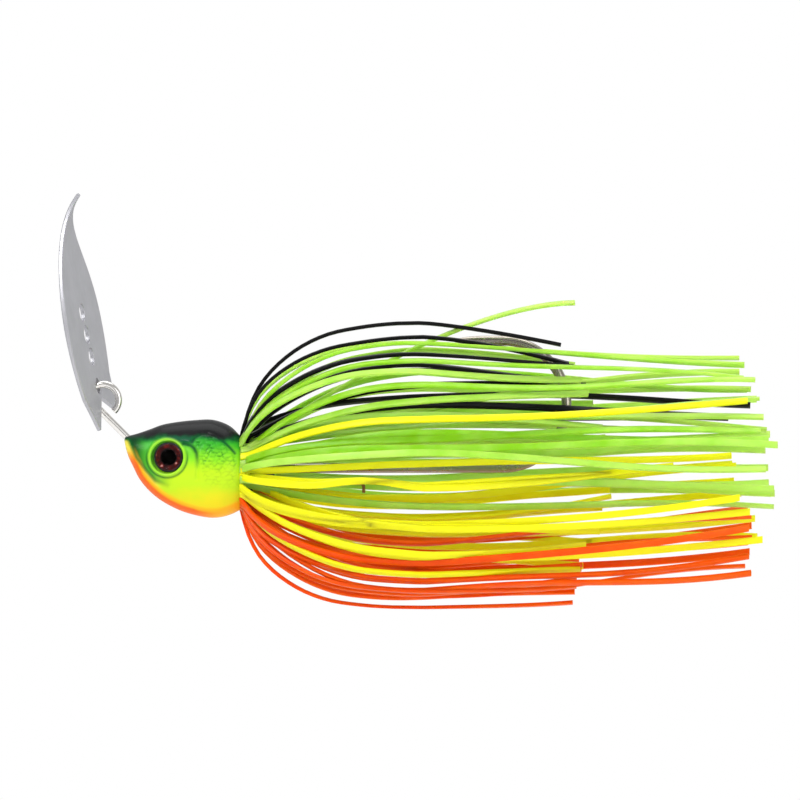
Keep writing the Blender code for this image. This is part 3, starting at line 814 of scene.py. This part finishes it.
def head_skin():
    """The fine skin of the head, pushed in or out by the relief."""
    sides, steps = 200, 170
    rings = []
    for k in range(steps + 1):
        share = 1 - math.cos(math.pi / 2 * k / steps) if k < steps else 1.0
        share = 0.5 * share + 0.5 * k / steps
        middle, half_height, half_width = head_section(share)
        x = NOSE_X + HEAD_LENGTH * share
        rings.append(ring_across(x, middle, half_height, half_width, sides))
    bm = bmesh.new()
    rows = loft(bm, rings)
    bm.normal_update()
    bmesh.ops.recalc_face_normals(bm, faces=bm.faces)
    for row in rows[1:-1]:
        place = np.array([v.co for v in row]) / MM
        relief = cast_relief(place[:, 0], place[:, 2])
        side_on = np.array([abs(v.normal.y) for v in row])
        out = sum(depth * relief[mark] for mark, depth in RELIEF.items())
        out = out * step(side_on, 0.15, 0.5) * step(place[:, 0], 3.4, 4.6)
        for v, push in zip(row, out):
            v.co = v.co + v.normal * float(push) * MM
    return mesh_of(bm, "head_skin")


# %% Sockets, bores and collar
BORE_CLEARANCE, SOCKET_DEPTH, BORE_END_X = 0.1 * MM, 4 * MM, 30 * MM
HEAD_CREASE = 42


def punch(bm, start, end, radius, sides=64):
    """A straight round tool from start to end, to cut a hole with."""
    along = (end - start).normalized()
    across = along.orthogonal().normalized()
    up = along.cross(across)
    loft(bm, [ring_round(spot, across, up, radius, sides) for spot in (start, end)])


def collar():
    """The turned stub behind the head, with the bead that keeps the tie from slipping off."""
    inside, bead = -0.6 * MM, 0.6 * MM
    profile = [(inside, 2.0 * MM), (inside, COLLAR_RADIUS), (COLLAR_LENGTH - 2 * bead, COLLAR_RADIUS)]
    for k in range(9):
        turn = math.pi * k / 8
        out = COLLAR_RADIUS + COLLAR_BEAD * math.sin(turn)
        profile.append((COLLAR_LENGTH - bead - bead * math.cos(turn), out))
    bm = bmesh.new()
    rings = [ring_across(HEAD_BACK_X + back, COLLAR_AXIS_Z, r, r, 72) for back, r in profile]
    loft(bm, rings)
    return mesh_of(bm, "collar")


def head():
    """The cast head with its collar, cut for the eyes and bored for its three wires."""
    mesh = united(head_skin(), collar(), "head", "UNION")
    tools = bmesh.new()
    for side in (-1, 1):
        floor = eye_floor(side)
        punch(tools, floor, floor + eye_out(side) * SOCKET_DEPTH, SOCKET_RADIUS)
    leg_inside = (NOSE_X - LEG_FOOT.x) / LEG_DIRECTION.x + LEG_INSIDE_HEAD + 0.3 * MM
    leg = LEG_FOOT + LEG_DIRECTION * leg_inside
    punch(tools, leg, LEG_FOOT, EYE_WIRE / 2 + BORE_CLEARANCE, 32)
    mesh = united(mesh, mesh_of(tools, "sockets"), "head", "DIFFERENCE")
    bores = (
        ("hook_bore", HOOK_START_X - 0.3 * MM, HOOK_SHANK_Z, HOOK_WIRE, 32),
        ("keeper_bore", HEAD_BACK_X, KEEPER_Z, KEEPER_WIRE, 24),
    )
    for name, x, z, thick, sides in bores:
        bore = bmesh.new()
        start, end = Vector((x, 0, z)), Vector((BORE_END_X, 0, z))
        punch(bore, start, end, thick / 2 + BORE_CLEARANCE, sides)
        mesh = united(mesh, mesh_of(bore, name), "head", "DIFFERENCE")
    smoothed(mesh, HEAD_CREASE)
    paint_masks(mesh)
    return mesh


def paint_masks(mesh):
    """Writes the masks that the spray and the painted shade follow onto the points of the finished
    head.
    """
    place = np.zeros(len(mesh.vertices) * 3, np.float32)
    mesh.vertices.foreach_get("co", place)
    place = place.reshape(-1, 3) / MM
    spots = np.linspace(0, 1, 60)
    bottoms = np.array([shares(HEAD_BOTTOMS, s) / MM for s in spots])
    masks = cast_relief(place[:, 0], place[:, 2])
    belly_line = list(zip(NOSE_X / MM + HEAD_LENGTH / MM * spots, bottoms))
    masks["above_belly"] = np.clip(line_distance(place[:, 0], place[:, 2], belly_line) / 4, 0, 1)
    for name, values in masks.items():
        made = mesh.attributes.new(name, "FLOAT", "POINT")
        made.data.foreach_set("value", np.asarray(values, np.float32))


# %% Paint for the head
def head_paint():
    """Sprayed bands with soft uneven edges under a clear gloss coat, with painted shade in the cast
    lines, under the eye and in the hollow behind it.
    """
    made, tree, shader = new_material("sprayed_head")
    place = object_place(tree)
    parts = node(tree, "ShaderNodeSeparateXYZ", {"Vector": place})
    x, z = parts.outputs["X"], parts.outputs["Z"]
    uneven = maths(tree, "SUBTRACT", noise(tree, place, 420, 4), 0.5)
    drift = product(tree, uneven, 2.2 * MM)
    level = maths(tree, "ADD", z, drift)
    belly = product(tree, attribute(tree, "above_belly"), 4.0)
    belly = maths(tree, "ADD", belly, product(tree, drift, 150.0))

    def band(value, low, high):
        """0 at low and 1 at high, both in millimetres."""
        return between(tree, value, low * MM, high * MM)

    face = product(tree, attribute(tree, "face"), 0.92)
    # Painted shade in the hollow behind the eye, between the raised eye ring and the gill.
    shade_behind_eye = product(tree, band(x, 8.9, 9.9), band(x, 13.0, 12.2), band(level, -6.9, -5.9))
    lip = maths(tree, "SUBTRACT", 1.0, attribute(tree, "face"))
    lip = product(tree, lip, band(x, 8.6, 6.4), band(z, -5.4, -5.9))
    warm = product(tree, between(tree, belly, 1.6, 1.0), band(z, -6.2, -8.6))
    hot = product(tree, band(z, -6.6, -9.0), band(x, 17.5, 12.5))
    hot = product(tree, between(tree, belly, 1.05, 0.6), hot)
    # Painted shade: the lower parts of the gill and shoulder grooves are darkened, where shade falls in
    # them.
    crease_shade = maths(tree, "MAXIMUM", attribute(tree, "gill"), attribute(tree, "shoulder"))
    stub = between(tree, x, HEAD_BACK_X + 0.02 * MM, HEAD_BACK_X + 0.1 * MM)
    bare_lead = mixed(tree, noise(tree, place, 900), (0.12, 0.12, 0.12), (0.2, 0.2, 0.2))

    # Each coat, of paint or of painted shade, is a mask and a colour, and covers the coats above it in
    # this list.
    chartreuse, belly_yellow = (0.46, 0.70, 0.014), (0.80, 0.66, 0.012)
    colour = mixed(tree, band(level, -11.5, -15.0), chartreuse, belly_yellow)
    coats = (
        (band(level, -10.4, -7.6), (0.20, 0.62, 0.015)),  # green side
        (face, (0.05, 0.34, 0.02)),  # darker green face
        (band(level, -8.2, -6.0), (0.035, 0.36, 0.02)),  # deep green shoulder
        (band(level, -6.3, -5.0), (0.0, 0.085, 0.02)),  # green into black
        (product(tree, face, band(x, 6.4, 4.4)), (0.0, 0.025, 0.008)),  # brow
        # Painted shade behind the eye.
        (shade_behind_eye, (0.0, 0.07, 0.025)),  # dark nook behind the eye
        (lip, (0.86, 0.74, 0.08)),  # pale lip
        (warm, (0.90, 0.46, 0.008)),  # yellow into orange
        (hot, (0.86, 0.13, 0.003)),  # orange belly edge
        # Painted shade in the jaw groove, and a painted shadow in the arc under the eye ring.
        (product(tree, attribute(tree, "jaw"), 0.85), (0.0, 0.10, 0.015)),
        (product(tree, attribute(tree, "eye_ring"), 0.85), (0.30, 0.66, 0.03)),
        # Painted shade in the gill and shoulder grooves.
        (product(tree, crease_shade, band(level, -10.0, -7.0)), (0.0, 0.06, 0.015)),  # cut lines
        # Painted shade in the cut edges of the scales.
        (product(tree, attribute(tree, "scales"), 0.95), (0.01, 0.15, 0.01)),
        (band(level, -5.5, -4.7), (0.006, 0.0065, 0.007)),  # black back
        (stub, bare_lead),
    )
    for mask, paint in coats:
        colour = mixed(tree, mask, colour, paint)
    gloss = {"Roughness": 0.42, "Specular IOR Level": 0.08, "Coat Weight": 0.1, "Coat Roughness": 0.2}
    wire_in(tree, shader, {"Base Color": colour, **gloss})
    bump(tree, shader, noise(tree, place, 1300, 3), 0.02 * MM, 0.35)
    return made


add_piece("head_skin", head(), head_paint(), "lure", "painted_lead", "head")

# %% [markdown]
# ## The eyes
# Each eye is a printed foil disc with a black pupil under a clear resin dome, stuck in its socket. The
# disc, the pupil and the dome are turned shapes. The foil's colour runs in rings, so each point of the
# disc carries its own distance from the middle.

# %% Eyes
PUPIL_RADIUS, PUPIL_THICKNESS = 1.0 * MM, 0.12 * MM
IRIS_THICKNESS, LENS_HEIGHT, STACK_GAP = 0.2 * MM, 1.15 * MM, 0.05 * MM


def turned(name, profile, foot, out, sides=72):
    """A solid turned from (radius, height) points, with each point's share of the radius on it."""
    side = out.orthogonal().normalized()
    up = out.cross(side)
    bm = bmesh.new()
    loft(bm, [ring_round(foot + out * height, side, up, radius, sides) for radius, height in profile])
    mesh = mesh_of(bm, name, 40)
    made = mesh.attributes.new("from_middle", "FLOAT", "POINT")
    widest = max(radius for radius, height in profile)
    for k, v in enumerate(mesh.vertices):
        away = v.co - foot
        made.data[k].value = (away - out * away.dot(out)).length / widest
    return mesh


def foil():
    """Dark red foil with pale flecks, the palest made bright as painted glints, darker round the pupil,
    and a black rim.
    """
    made, tree, shader = new_material("eye_foil")
    place = object_place(tree)
    rim = attribute(tree, "from_middle")
    fleck_and_glint = noise(tree, place, 1700, 4)
    dark_red, red = (0.035, 0.0008, 0.0008), (0.20, 0.004, 0.003)
    colour = mixed(tree, between(tree, fleck_and_glint, 0.42, 0.62), dark_red, red)
    # The palest flecks are painted glints, standing in for the lamps mirrored in the resin dome.
    colour = mixed(tree, between(tree, fleck_and_glint, 0.60, 0.68), colour, (0.9, 0.45, 0.38))
    colour = mixed(tree, between(tree, rim, 0.64, 0.54), colour, (0.006, 0.002, 0.002))
    colour = mixed(tree, between(tree, rim, 0.83, 0.87), colour, (0.004, 0.004, 0.004))
    metal = maths(tree, "SUBTRACT", 0.7, between(tree, rim, 0.83, 0.87))
    metal = maths(tree, "MAXIMUM", metal, 0.0)
    wire_in(tree, shader, {"Base Color": colour, "Metallic": metal, "Roughness": 0.28})
    bump(tree, shader, fleck_and_glint, 0.03 * MM, 0.6)
    return made


def pupil_black():
    """A flat black print that mirrors nothing."""
    made, tree, shader = new_material("pupil_black")
    grain = noise(tree, object_place(tree), 3000)
    colour = mixed(tree, grain, (0.0006, 0.0006, 0.0006), (0.0018, 0.0015, 0.0015))
    wire_in(tree, shader, {"Base Color": colour, "Roughness": 0.6, "Specular IOR Level": 0.0})
    return made


def clear_resin():
    """Clear resin that bends light very little, so that the disc under it stays its own size."""
    made, tree, shader = new_material("clear_resin")
    tint = mixed(tree, noise(tree, object_place(tree), 600), (1.0, 0.99, 0.98), (0.97, 0.98, 1.0))
    clear = {"Roughness": 0.02, "Transmission Weight": 1.0, "IOR": 1.06, "Specular IOR Level": 0.5}
    wire_in(tree, shader, {"Base Color": tint, **clear})
    return made


FOIL, PUPIL_BLACK, CLEAR_RESIN = foil(), pupil_black(), clear_resin()


def eye(side, name):
    """Stacks disc, pupil and dome in one socket, with a hair's gap between them."""
    out, wide = eye_out(side), EYE_DIAMETER / 2
    foot = eye_floor(side) + out * STACK_GAP
    disc = [(wide, 0.0), (wide, IRIS_THICKNESS * 0.7), (wide * 0.97, IRIS_THICKNESS)]
    disc += [(wide * share, IRIS_THICKNESS) for share in (0.9, 0.85, 0.7, 0.55, 0.4, 0.1)]
    mesh = turned(f"iris_skin_{name}", disc, foot, out)
    add_piece(f"iris_skin_{name}", mesh, FOIL, "lure", "foil", f"iris_{name}")
    foot = foot + out * (IRIS_THICKNESS + STACK_GAP)
    disc = [(PUPIL_RADIUS, 0.0), (PUPIL_RADIUS, PUPIL_THICKNESS * 0.6)]
    disc += [(PUPIL_RADIUS * 0.93, PUPIL_THICKNESS)]
    mesh = turned(f"pupil_skin_{name}", disc, foot, out)
    add_piece(f"pupil_skin_{name}", mesh, PUPIL_BLACK, "lure", "pupil", f"pupil_{name}")
    foot = foot + out * (PUPIL_THICKNESS + STACK_GAP)
    ball = (wide**2 + LENS_HEIGHT**2) / (2 * LENS_HEIGHT)
    edge = math.asin(wide / ball)
    dome = [(wide * 0.97, 0.0), (wide, 0.05 * MM)]
    for k in range(1, 20):
        at = edge * (1 - k / 19.5)
        dome.append((ball * math.sin(at), LENS_HEIGHT - ball * (1 - math.cos(at))))
    mesh = turned(f"lens_skin_{name}", dome, foot, out)
    add_piece(f"lens_skin_{name}", mesh, CLEAR_RESIN, "lure", "clear_lens", f"lens_{name}")


eye(-1, "left")
eye(1, "right")

# %% [markdown]
# ## The skirt
# A skirt is a bundle of thin silicone strands, held on the collar by a tie. Each one stands out behind
# the head, turns back over a bell and trails. Strands are listed in bundles of one colour, each with
# the heights of its bell and of its ends. A few green ones skip the bell and run straight to their
# ends. All of them stay off the hook's plane, and on the side with the listed outer bundles they part
# over the spur of the bait keeper, so that it shows. A geometry node tree then does the work that a
# cutter does in the factory: it sweeps one flat, slightly rounded section along every line and squares
# its ends.

# %% Strand rules
STRAND_WIDTH, STRAND_THICKNESS = 0.98 * MM, 0.5 * MM
SKIRT_X = HEAD_BACK_X + 0.12 * MM
LAYERS = (3.1 * MM, 4.3 * MM, 5.0 * MM)
BELL_LENGTH = 74.0 * MM
BELL_CREST = 0.34
SKIRT_BELL = (
    (0.000, 0.00),
    (0.020, 0.22),
    (0.060, 0.48),
    (0.130, 0.74),
    (0.200, 0.90),
    (0.270, 0.97),
    (0.340, 1.00),
    (0.420, 1.00),
)
# Bundles: colour, strands, heights of the bell, heights of the ends, reach, and side of the hook
# (-1 or 1 keeps a bundle on one side's outer layer; 0 shares it out between both).
BUNDLES = (
    ("black", 3, (20.7, 16.6), (17.2, 15.2), (45.2, 46.6), -1),
    ("black", 4, (14.6, 11.8), (12.8, 11.4), (47.0, 48.6), 0),
    ("black", 3, (10.8, 8.4), (10.4, 7.6), (71.6, 65.0), 0),
    ("green", 1, (19.0, 19.0), (23.4, 23.4), (46.3, 46.3), -1),
    ("green", 14, (18.2, 4.0), (16.4, 4.0), (69.5, 74.5), 0),
    ("green", 8, (16.8, 2.5), (14.8, 5.0), (47.0, 51.5), 0),
    ("green", 12, (6.0, -4.5), (7.0, -5.0), (72.0, 75.0), 0),
    ("yellow", 1, (7.6, 7.6), (9.6, 9.6), (70.6, 70.6), -1),
    ("yellow", 3, (0.9, -2.2), (3.0, -0.4), (68.5, 52.0), -1),
    ("yellow", 10, (-3.4, -11.8), (1.2, -9.5), (68.8, 72.5), 0),
    ("yellow", 8, (-4.0, -14.6), (-2.0, -13.6), (52.0, 47.2), 0),
    ("orange", 10, (-9.5, -16.8), (-5.6, -13.7), (71.6, 71.0), 0),
    ("orange", 10, (-12.5, -19.2), (-12.2, -17.6), (48.2, 46.2), 0),
)
BUNDLE_LOOSE, EDGE_LOOSE = 1.3, 0.3
BLACK_WIDER = 1.15
BELL_HALF_HEIGHT, BELL_LEAST_WIDTH = 21.0, 3.0
HOOK_PLANE_CLEAR = 1.5 * MM
QUICK_RISE = 0.045
SLOW_RISE = (-0.06, 0.02)
DIRECT_EVERY, DIRECT_POWER = 5, 1.6
RISE_WITHIN = 0.05
SPUR_WINDOW, SPUR_CLEAR = 9.0 * MM, 1.25 * MM
SKIRT_DEPTH = 17.5 * MM
OUTER_LAYER, ANY_LAYER = (0.7, 1.0), (0.18, 0.95)
LINE_STEPS = 34
SWAY, SIDE_SWAY = 0.5 * MM, 1.6


def strand_plan(rng):
    """One dict for each strand, with where its bell and its end are, across and up, in metres."""
    plan = []
    side = 1
    for colour, count, bell, end, reach, kept in BUNDLES:
        for k in range(count):
            share = k / max(count - 1, 1)
            side = kept or -side
            loose = BUNDLE_LOOSE if 0 < k < count - 1 else EDGE_LOOSE
            up = bell[0] + (bell[1] - bell[0]) * share + rng.uniform(-loose, loose)
            widest = math.sqrt(max(BELL_HALF_HEIGHT**2 - up**2, BELL_LEAST_WIDTH**2)) / BELL_HALF_HEIGHT
            out = side * SKIRT_DEPTH * widest * rng.uniform(*(OUTER_LAYER if kept else ANY_LAYER))
            outer = min(max((abs(up) - 14) / 5, 0), 1)
            tip = end[0] + (end[1] - end[0]) * share + rng.uniform(-loose, loose)
            long = reach[0] + (reach[1] - reach[0]) * share + rng.uniform(-0.5, 0.5)
            plan.append(
                {
                    "colour": colour,
                    "bell": Vector((out, up * MM)),
                    "end": Vector((out * rng.uniform(0.45, 0.7), tip * MM)),
                    "reach": long * MM,
                    "lift": QUICK_RISE * outer + rng.uniform(*SLOW_RISE) * (1 - outer),
                    "direct": colour == "green" and (count == 1 or k % DIRECT_EVERY == 2),
                }
            )
    plan.sort(key=lambda s: math.atan2(s["bell"].y, s["bell"].x))
    return plan


def strand_line(strand, rank, count, rng):
    """The points of one strand and, at each, the way that its flat side lies."""
    angle = -math.pi + 2 * math.pi * (rank + 0.5) / count
    layer = LAYERS[rank % 3]
    root = Vector((math.cos(angle), math.sin(angle))) * layer
    wave = [rng.uniform(0, 2 * math.pi) for _ in range(3)]
    pace = rng.uniform(0.7, 1.5)
    twist_end = rng.uniform(-1.0, 1.0)
    full = strand["reach"] / BELL_LENGTH
    points, across = [], []
    for k in range(LINE_STEPS + 1):
        share = (k / LINE_STEPS) ** 1.35 * strand["reach"] / BELL_LENGTH
        lift = strand["lift"] * (1 - math.exp(-share / RISE_WITHIN))
        risen = shares(SKIRT_BELL, min(share + lift, BELL_CREST))
        spot = root + (strand["bell"] - root) * risen
        if strand["direct"]:
            left = 1 - share / full
            spot = root.lerp(strand["end"], 1 - max(left, 0) ** DIRECT_POWER)
        elif share > BELL_CREST:
            t = (share - BELL_CREST) / (full - BELL_CREST)
            spot = spot.lerp(strand["end"], t**1.25)
        sway = SWAY * min(share / 0.3, 1.0) * (0.4 + share)
        spot.x += sway * SIDE_SWAY * math.sin(2 * math.pi * pace * share + wave[0])
        spot.y += sway * math.sin(2 * math.pi * pace * share + wave[1])
        free = HOOK_PLANE_CLEAR * min(share / 0.12, 1.0)
        if abs(spot.x) < free:
            spot.x = math.copysign(free, strand["bell"].x)
        from_spur = abs(SKIRT_X + BELL_LENGTH * share - KEEPER_END_X) / SPUR_WINDOW
        spur = KEEPER_Z - KEEPER_SPUR * 0.6 - COLLAR_AXIS_Z
        if from_spur < 1 and spot.x < 0 and abs(spot.y - spur) < SPUR_CLEAR:
            aside = math.copysign(SPUR_CLEAR, strand["bell"].y - spur)
            spot.y += (spur + aside - spot.y) * (0.5 + 0.5 * math.cos(math.pi * from_spur))
        points.append(Vector((SKIRT_X + BELL_LENGTH * share, spot.x, COLLAR_AXIS_Z + spot.y)))
        flat = angle + math.pi / 2 + twist_end * share**1.2
        across.append(Vector((0, math.cos(flat), math.sin(flat))))
    return points, across


# %% Lines for every strand
SKIRT_SEED = 23


def skirt_lines():
    """The lines of every strand, sorted by colour."""
    rng = random.Random(SKIRT_SEED)
    plan = strand_plan(rng)
    lines = {}
    for rank, strand in enumerate(plan):
        points, across = strand_line(strand, rank, len(plan), rng)
        lines.setdefault(strand["colour"], []).append((points, across, rank))
    print("strands:", {colour: len(found) for colour, found in lines.items()})
    return lines


def lines_mesh(name, lines):
    """One mesh of bare lines, whose points carry the strand's number and how far along they are."""
    places, edges, across, number, along = [], [], [], [], []
    for points, sides, rank in lines:
        first = len(places)
        places += points
        across += sides
        number += [rank] * len(points)
        along += [k / (len(points) - 1) for k in range(len(points))]
        edges += [(first + k, first + k + 1) for k in range(len(points) - 1)]
    mesh = bpy.data.meshes.new(name)
    mesh.from_pydata(places, edges, [])
    carried = (
        ("across", "FLOAT_VECTOR", "vector", [c for v in across for c in v]),
        ("strand", "INT", "value", number),
        ("along", "FLOAT", "value", along),
    )
    for key, kind, field, values in carried:
        mesh.attributes.new(key, kind, "POINT").data.foreach_set(field, values)
    return mesh


# %% The strand tree
def new_tree(name, inputs, result):
    """A tree with named inputs and one result, and the sockets that its inputs give."""
    tree = bpy.data.node_groups.new(name, "GeometryNodeTree")
    for key, kind in inputs.items():
        tree.interface.new_socket(key, in_out="INPUT", socket_type=f"NodeSocket{kind}")
    tree.interface.new_socket(result, in_out="OUTPUT", socket_type="NodeSocketGeometry")
    return tree, node(tree, "NodeGroupInput").outputs


def end_tree(tree, geometry, finish, result):
    """Ends a tree with real geometry in its own material."""
    real = node(tree, "GeometryNodeRealizeInstances", {"Geometry": geometry})
    wires = {"Geometry": real.outputs["Geometry"], "Material": finish}
    dressed = node(tree, "GeometryNodeSetMaterial", wires)
    node(tree, "NodeGroupOutput", {result: dressed.outputs["Geometry"]})
    return tree


def swept_along(tree, line, section):
    """A closed skin of one section swept along a line."""
    wires = {"Curve": line, "Profile Curve": section.outputs["Curve"], "Fill Caps": True}
    return node(tree, "GeometryNodeCurveToMesh", wires).outputs["Mesh"]


def strand_tree():
    """Geometry nodes: lines in, flat strands with square ends out, each with its own tint."""
    sizes = {"Width": "Float", "Thickness": "Float", "Corner": "Float"}
    inputs = {"Lines": "Geometry", **sizes, "Seed": "Int", "Finish": "Material"}
    tree, given = new_tree("silicone_strands", inputs, "Strands")
    number = node(tree, "GeometryNodeInputNamedAttribute", {"Name": "strand"}, data_type="INT")
    wires = {"ID": number.outputs["Attribute"], "Seed": given["Seed"]}
    tint = node(tree, "FunctionNodeRandomValue", wires, data_type="FLOAT")
    wires = {"Geometry": given["Lines"], "Name": "tint", "Value": tint.outputs[1]}
    tinted = node(tree, "GeometryNodeStoreNamedAttribute", wires, data_type="FLOAT", domain="POINT")
    curves = node(tree, "GeometryNodeMeshToCurve", {"Mesh": tinted.outputs["Geometry"]})
    side = node(tree, "GeometryNodeInputNamedAttribute", {"Name": "across"}, data_type="FLOAT_VECTOR")
    wires = {"Curve": curves.outputs["Curve"], "Normal": side.outputs["Attribute"]}
    facing = node(tree, "GeometryNodeSetCurveNormal", wires, mode="FREE")
    wires = {"Width": given["Width"], "Height": given["Thickness"]}
    section = node(tree, "GeometryNodeCurvePrimitiveQuadrilateral", wires)
    wires = {"Curve": section.outputs["Curve"], "Radius": given["Corner"], "Count": 2}
    soft = node(tree, "GeometryNodeFilletCurve", wires, mode="POLY")
    swept = swept_along(tree, facing.outputs["Curve"], soft)
    return end_tree(tree, swept, given["Finish"], "Strands")


def grown(tree, mesh, settings):
    """The plain mesh that the tree makes from a mesh, with its inputs set by name."""
    carrier = bpy.data.objects.new("carrier", mesh)
    scene.collection.objects.link(carrier)
    made = carrier.modifiers.new("tree", "NODES")
    made.node_group = tree
    for item in tree.interface.items_tree:
        if item.in_out == "INPUT" and item.name in settings:
            made[item.identifier] = settings[item.name]
    bpy.context.view_layer.update()
    graph = bpy.context.evaluated_depsgraph_get()
    found = bpy.data.meshes.new_from_object(carrier.evaluated_get(graph))
    bpy.data.objects.remove(carrier)
    return found


# %% Silicone finishes
def silicone(name, deep, pale, see_through, glow):
    """Soft rubber: a slight tint from strand to strand, paler soft patches, paler towards the tail as
    painted light shining through the single strands, and a waxy sheen.
    """
    made, tree, shader = new_material(name)
    place = object_place(tree)
    blotch = noise(tree, place, 260, 3)
    varied = maths(tree, "ADD", product(tree, attribute(tree, "tint"), 0.6), blotch)
    # Paler towards the tail: painted light, standing in for the backdrop shining through the single
    # strands there.
    tail = between(tree, attribute(tree, "along"), 0.6, 1.0)
    varied = maths(tree, "ADD", varied, product(tree, tail, 0.3))
    colour = mixed(tree, between(tree, varied, 0.35, 1.1), deep, pale)
    rubber = {
        "Roughness": 0.36,
        "Specular IOR Level": 0.16,
        "IOR": 1.41,
        "Transmission Weight": see_through,
        "Subsurface Weight": glow,
        "Subsurface Radius": (1.0, 1.0, 0.3),
        "Subsurface Scale": 0.8 * MM,
    }
    wire_in(tree, shader, {"Base Color": colour, **rubber})
    bump(tree, shader, noise(tree, place, 2200, 3), 0.02 * MM, 0.4)
    return made


# Deep and pale colour, how much light goes through, and how much glows from inside.
SILICONES = {
    "black": silicone("black_silicone", (0.002, 0.002, 0.0025), (0.005, 0.0045, 0.005), 0.0, 0.0),
    "green": silicone("green_silicone", (0.34, 0.74, 0.008), (0.60, 0.94, 0.16), 0.42, 0.6),
    "yellow": silicone("yellow_silicone", (0.90, 0.84, 0.003), (0.98, 0.93, 0.010), 0.22, 0.7),
    "orange": silicone("orange_silicone", (0.84, 0.066, 0.0004), (0.92, 0.12, 0.0008), 0.12, 0.6),
}


# %% Grow the skirt
def cad_colour(name):
    """The colour of a skirt solid, from the record's list of material slots."""
    rows = frame["record"]["subparts"]
    slot = next(row["material_slot"] for row in rows if row["node"] == name)
    return slot.split("_")[0]


TREE = strand_tree()
STRAND_CORNER, TINT_SEED, STRAND_CREASE = 0.11 * MM, 5, 50
SOLID_STRANDS = [n for n in frame["nodes"] if n.startswith(("skirt_inner", "skirt_outer"))]
for colour, lines in skirt_lines().items():
    settings = {
        "Width": STRAND_WIDTH * (BLACK_WIDER if colour == "black" else 1),
        "Thickness": STRAND_THICKNESS,
        "Corner": STRAND_CORNER,
        "Seed": TINT_SEED,
        "Finish": SILICONES[colour],
    }
    mesh = smoothed(grown(TREE, lines_mesh(f"skirt_{colour}", lines), settings), STRAND_CREASE)
    stood_for = [n for n in SOLID_STRANDS if cad_colour(n) == colour]
    add_piece(f"skirt_{colour}", mesh, None, "lure", f"{colour}_silicone", *stood_for)

# %% [markdown]
# ## The tie
# The inner strands are held on the collar by a few turns of thread. The thread is a helix swept with a
# round section, all in one small tree with the number of turns as an input. Every tree starts from a
# geometry, and this one is handed an empty mesh.

# %% Tie
TIE_INNER, TIE_THICKNESS, TIE_WIDTH = 3.55 * MM, 0.6 * MM, 1.3 * MM
TIE_X = SKIRT_X + 0.5 * MM
TIE_TURNS, THREAD_RADIUS = 5.0, 0.13 * MM


def tie_tree():
    """Geometry nodes: a helix of round thread, laid along X round the collar's axis."""
    sizes = {"Turns": "Float", "Radius": "Float", "Length": "Float", "Thread": "Float"}
    tree, given = new_tree("wound_tie", {"Start": "Geometry", **sizes, "Finish": "Material"}, "Tie")
    wires = {key: given["Radius"] for key in ("Start Radius", "End Radius")}
    wires = {"Resolution": 40, "Rotations": given["Turns"], **wires, "Height": given["Length"]}
    helix = node(tree, "GeometryNodeCurveSpiral", wires)
    wires = {"Resolution": 10, "Radius": given["Thread"]}
    section = node(tree, "GeometryNodeCurvePrimitiveCircle", wires)
    wires = {
        "Geometry": swept_along(tree, helix.outputs["Curve"], section),
        "Rotation": (0, math.pi / 2, 0),
        "Translation": (TIE_X + 0.15 * MM, 0, COLLAR_AXIS_Z),
    }
    laid = node(tree, "GeometryNodeTransform", wires)
    smooth = node(tree, "GeometryNodeSetShadeSmooth", {"Geometry": laid.outputs["Geometry"]})
    return end_tree(tree, smooth.outputs["Geometry"], given["Finish"], "Tie")


def tie_thread():
    """Waxed black thread, with its fibres showing as fine lines."""
    made, tree, shader = new_material("tie_thread")
    fibre = noise(tree, object_place(tree), 6000, 3, (1, 0.3, 0.3))
    colour = mixed(tree, fibre, (0.02, 0.02, 0.022), (0.07, 0.07, 0.075))
    wire_in(tree, shader, {"Base Color": colour, "Roughness": 0.75})
    bump(tree, shader, fibre, 0.04 * MM, 0.7)
    return made


tie = grown(
    tie_tree(),
    bpy.data.meshes.new("tie_start"),
    {
        "Turns": TIE_TURNS,
        "Radius": TIE_INNER + TIE_THICKNESS / 2,
        "Length": TIE_WIDTH - 2 * THREAD_RADIUS,
        "Thread": THREAD_RADIUS,
        "Finish": tie_thread(),
    },
)
add_piece("skirt_tie_thread", tie, None, "lure", "tie_band", "skirt_tie")

# %% [markdown]
# ## Measure and finish
# The boxes of the finished lure and of the solids are printed side by side.

# %% Measure and finish
VISUAL_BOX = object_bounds()
for axis, low, high, solid_low, solid_high in zip("XYZ", *VISUAL_BOX, *CAD_BOX):
    print(axis, "visual", round(high - low, 4), "solid", round(solid_high - solid_low, 4))
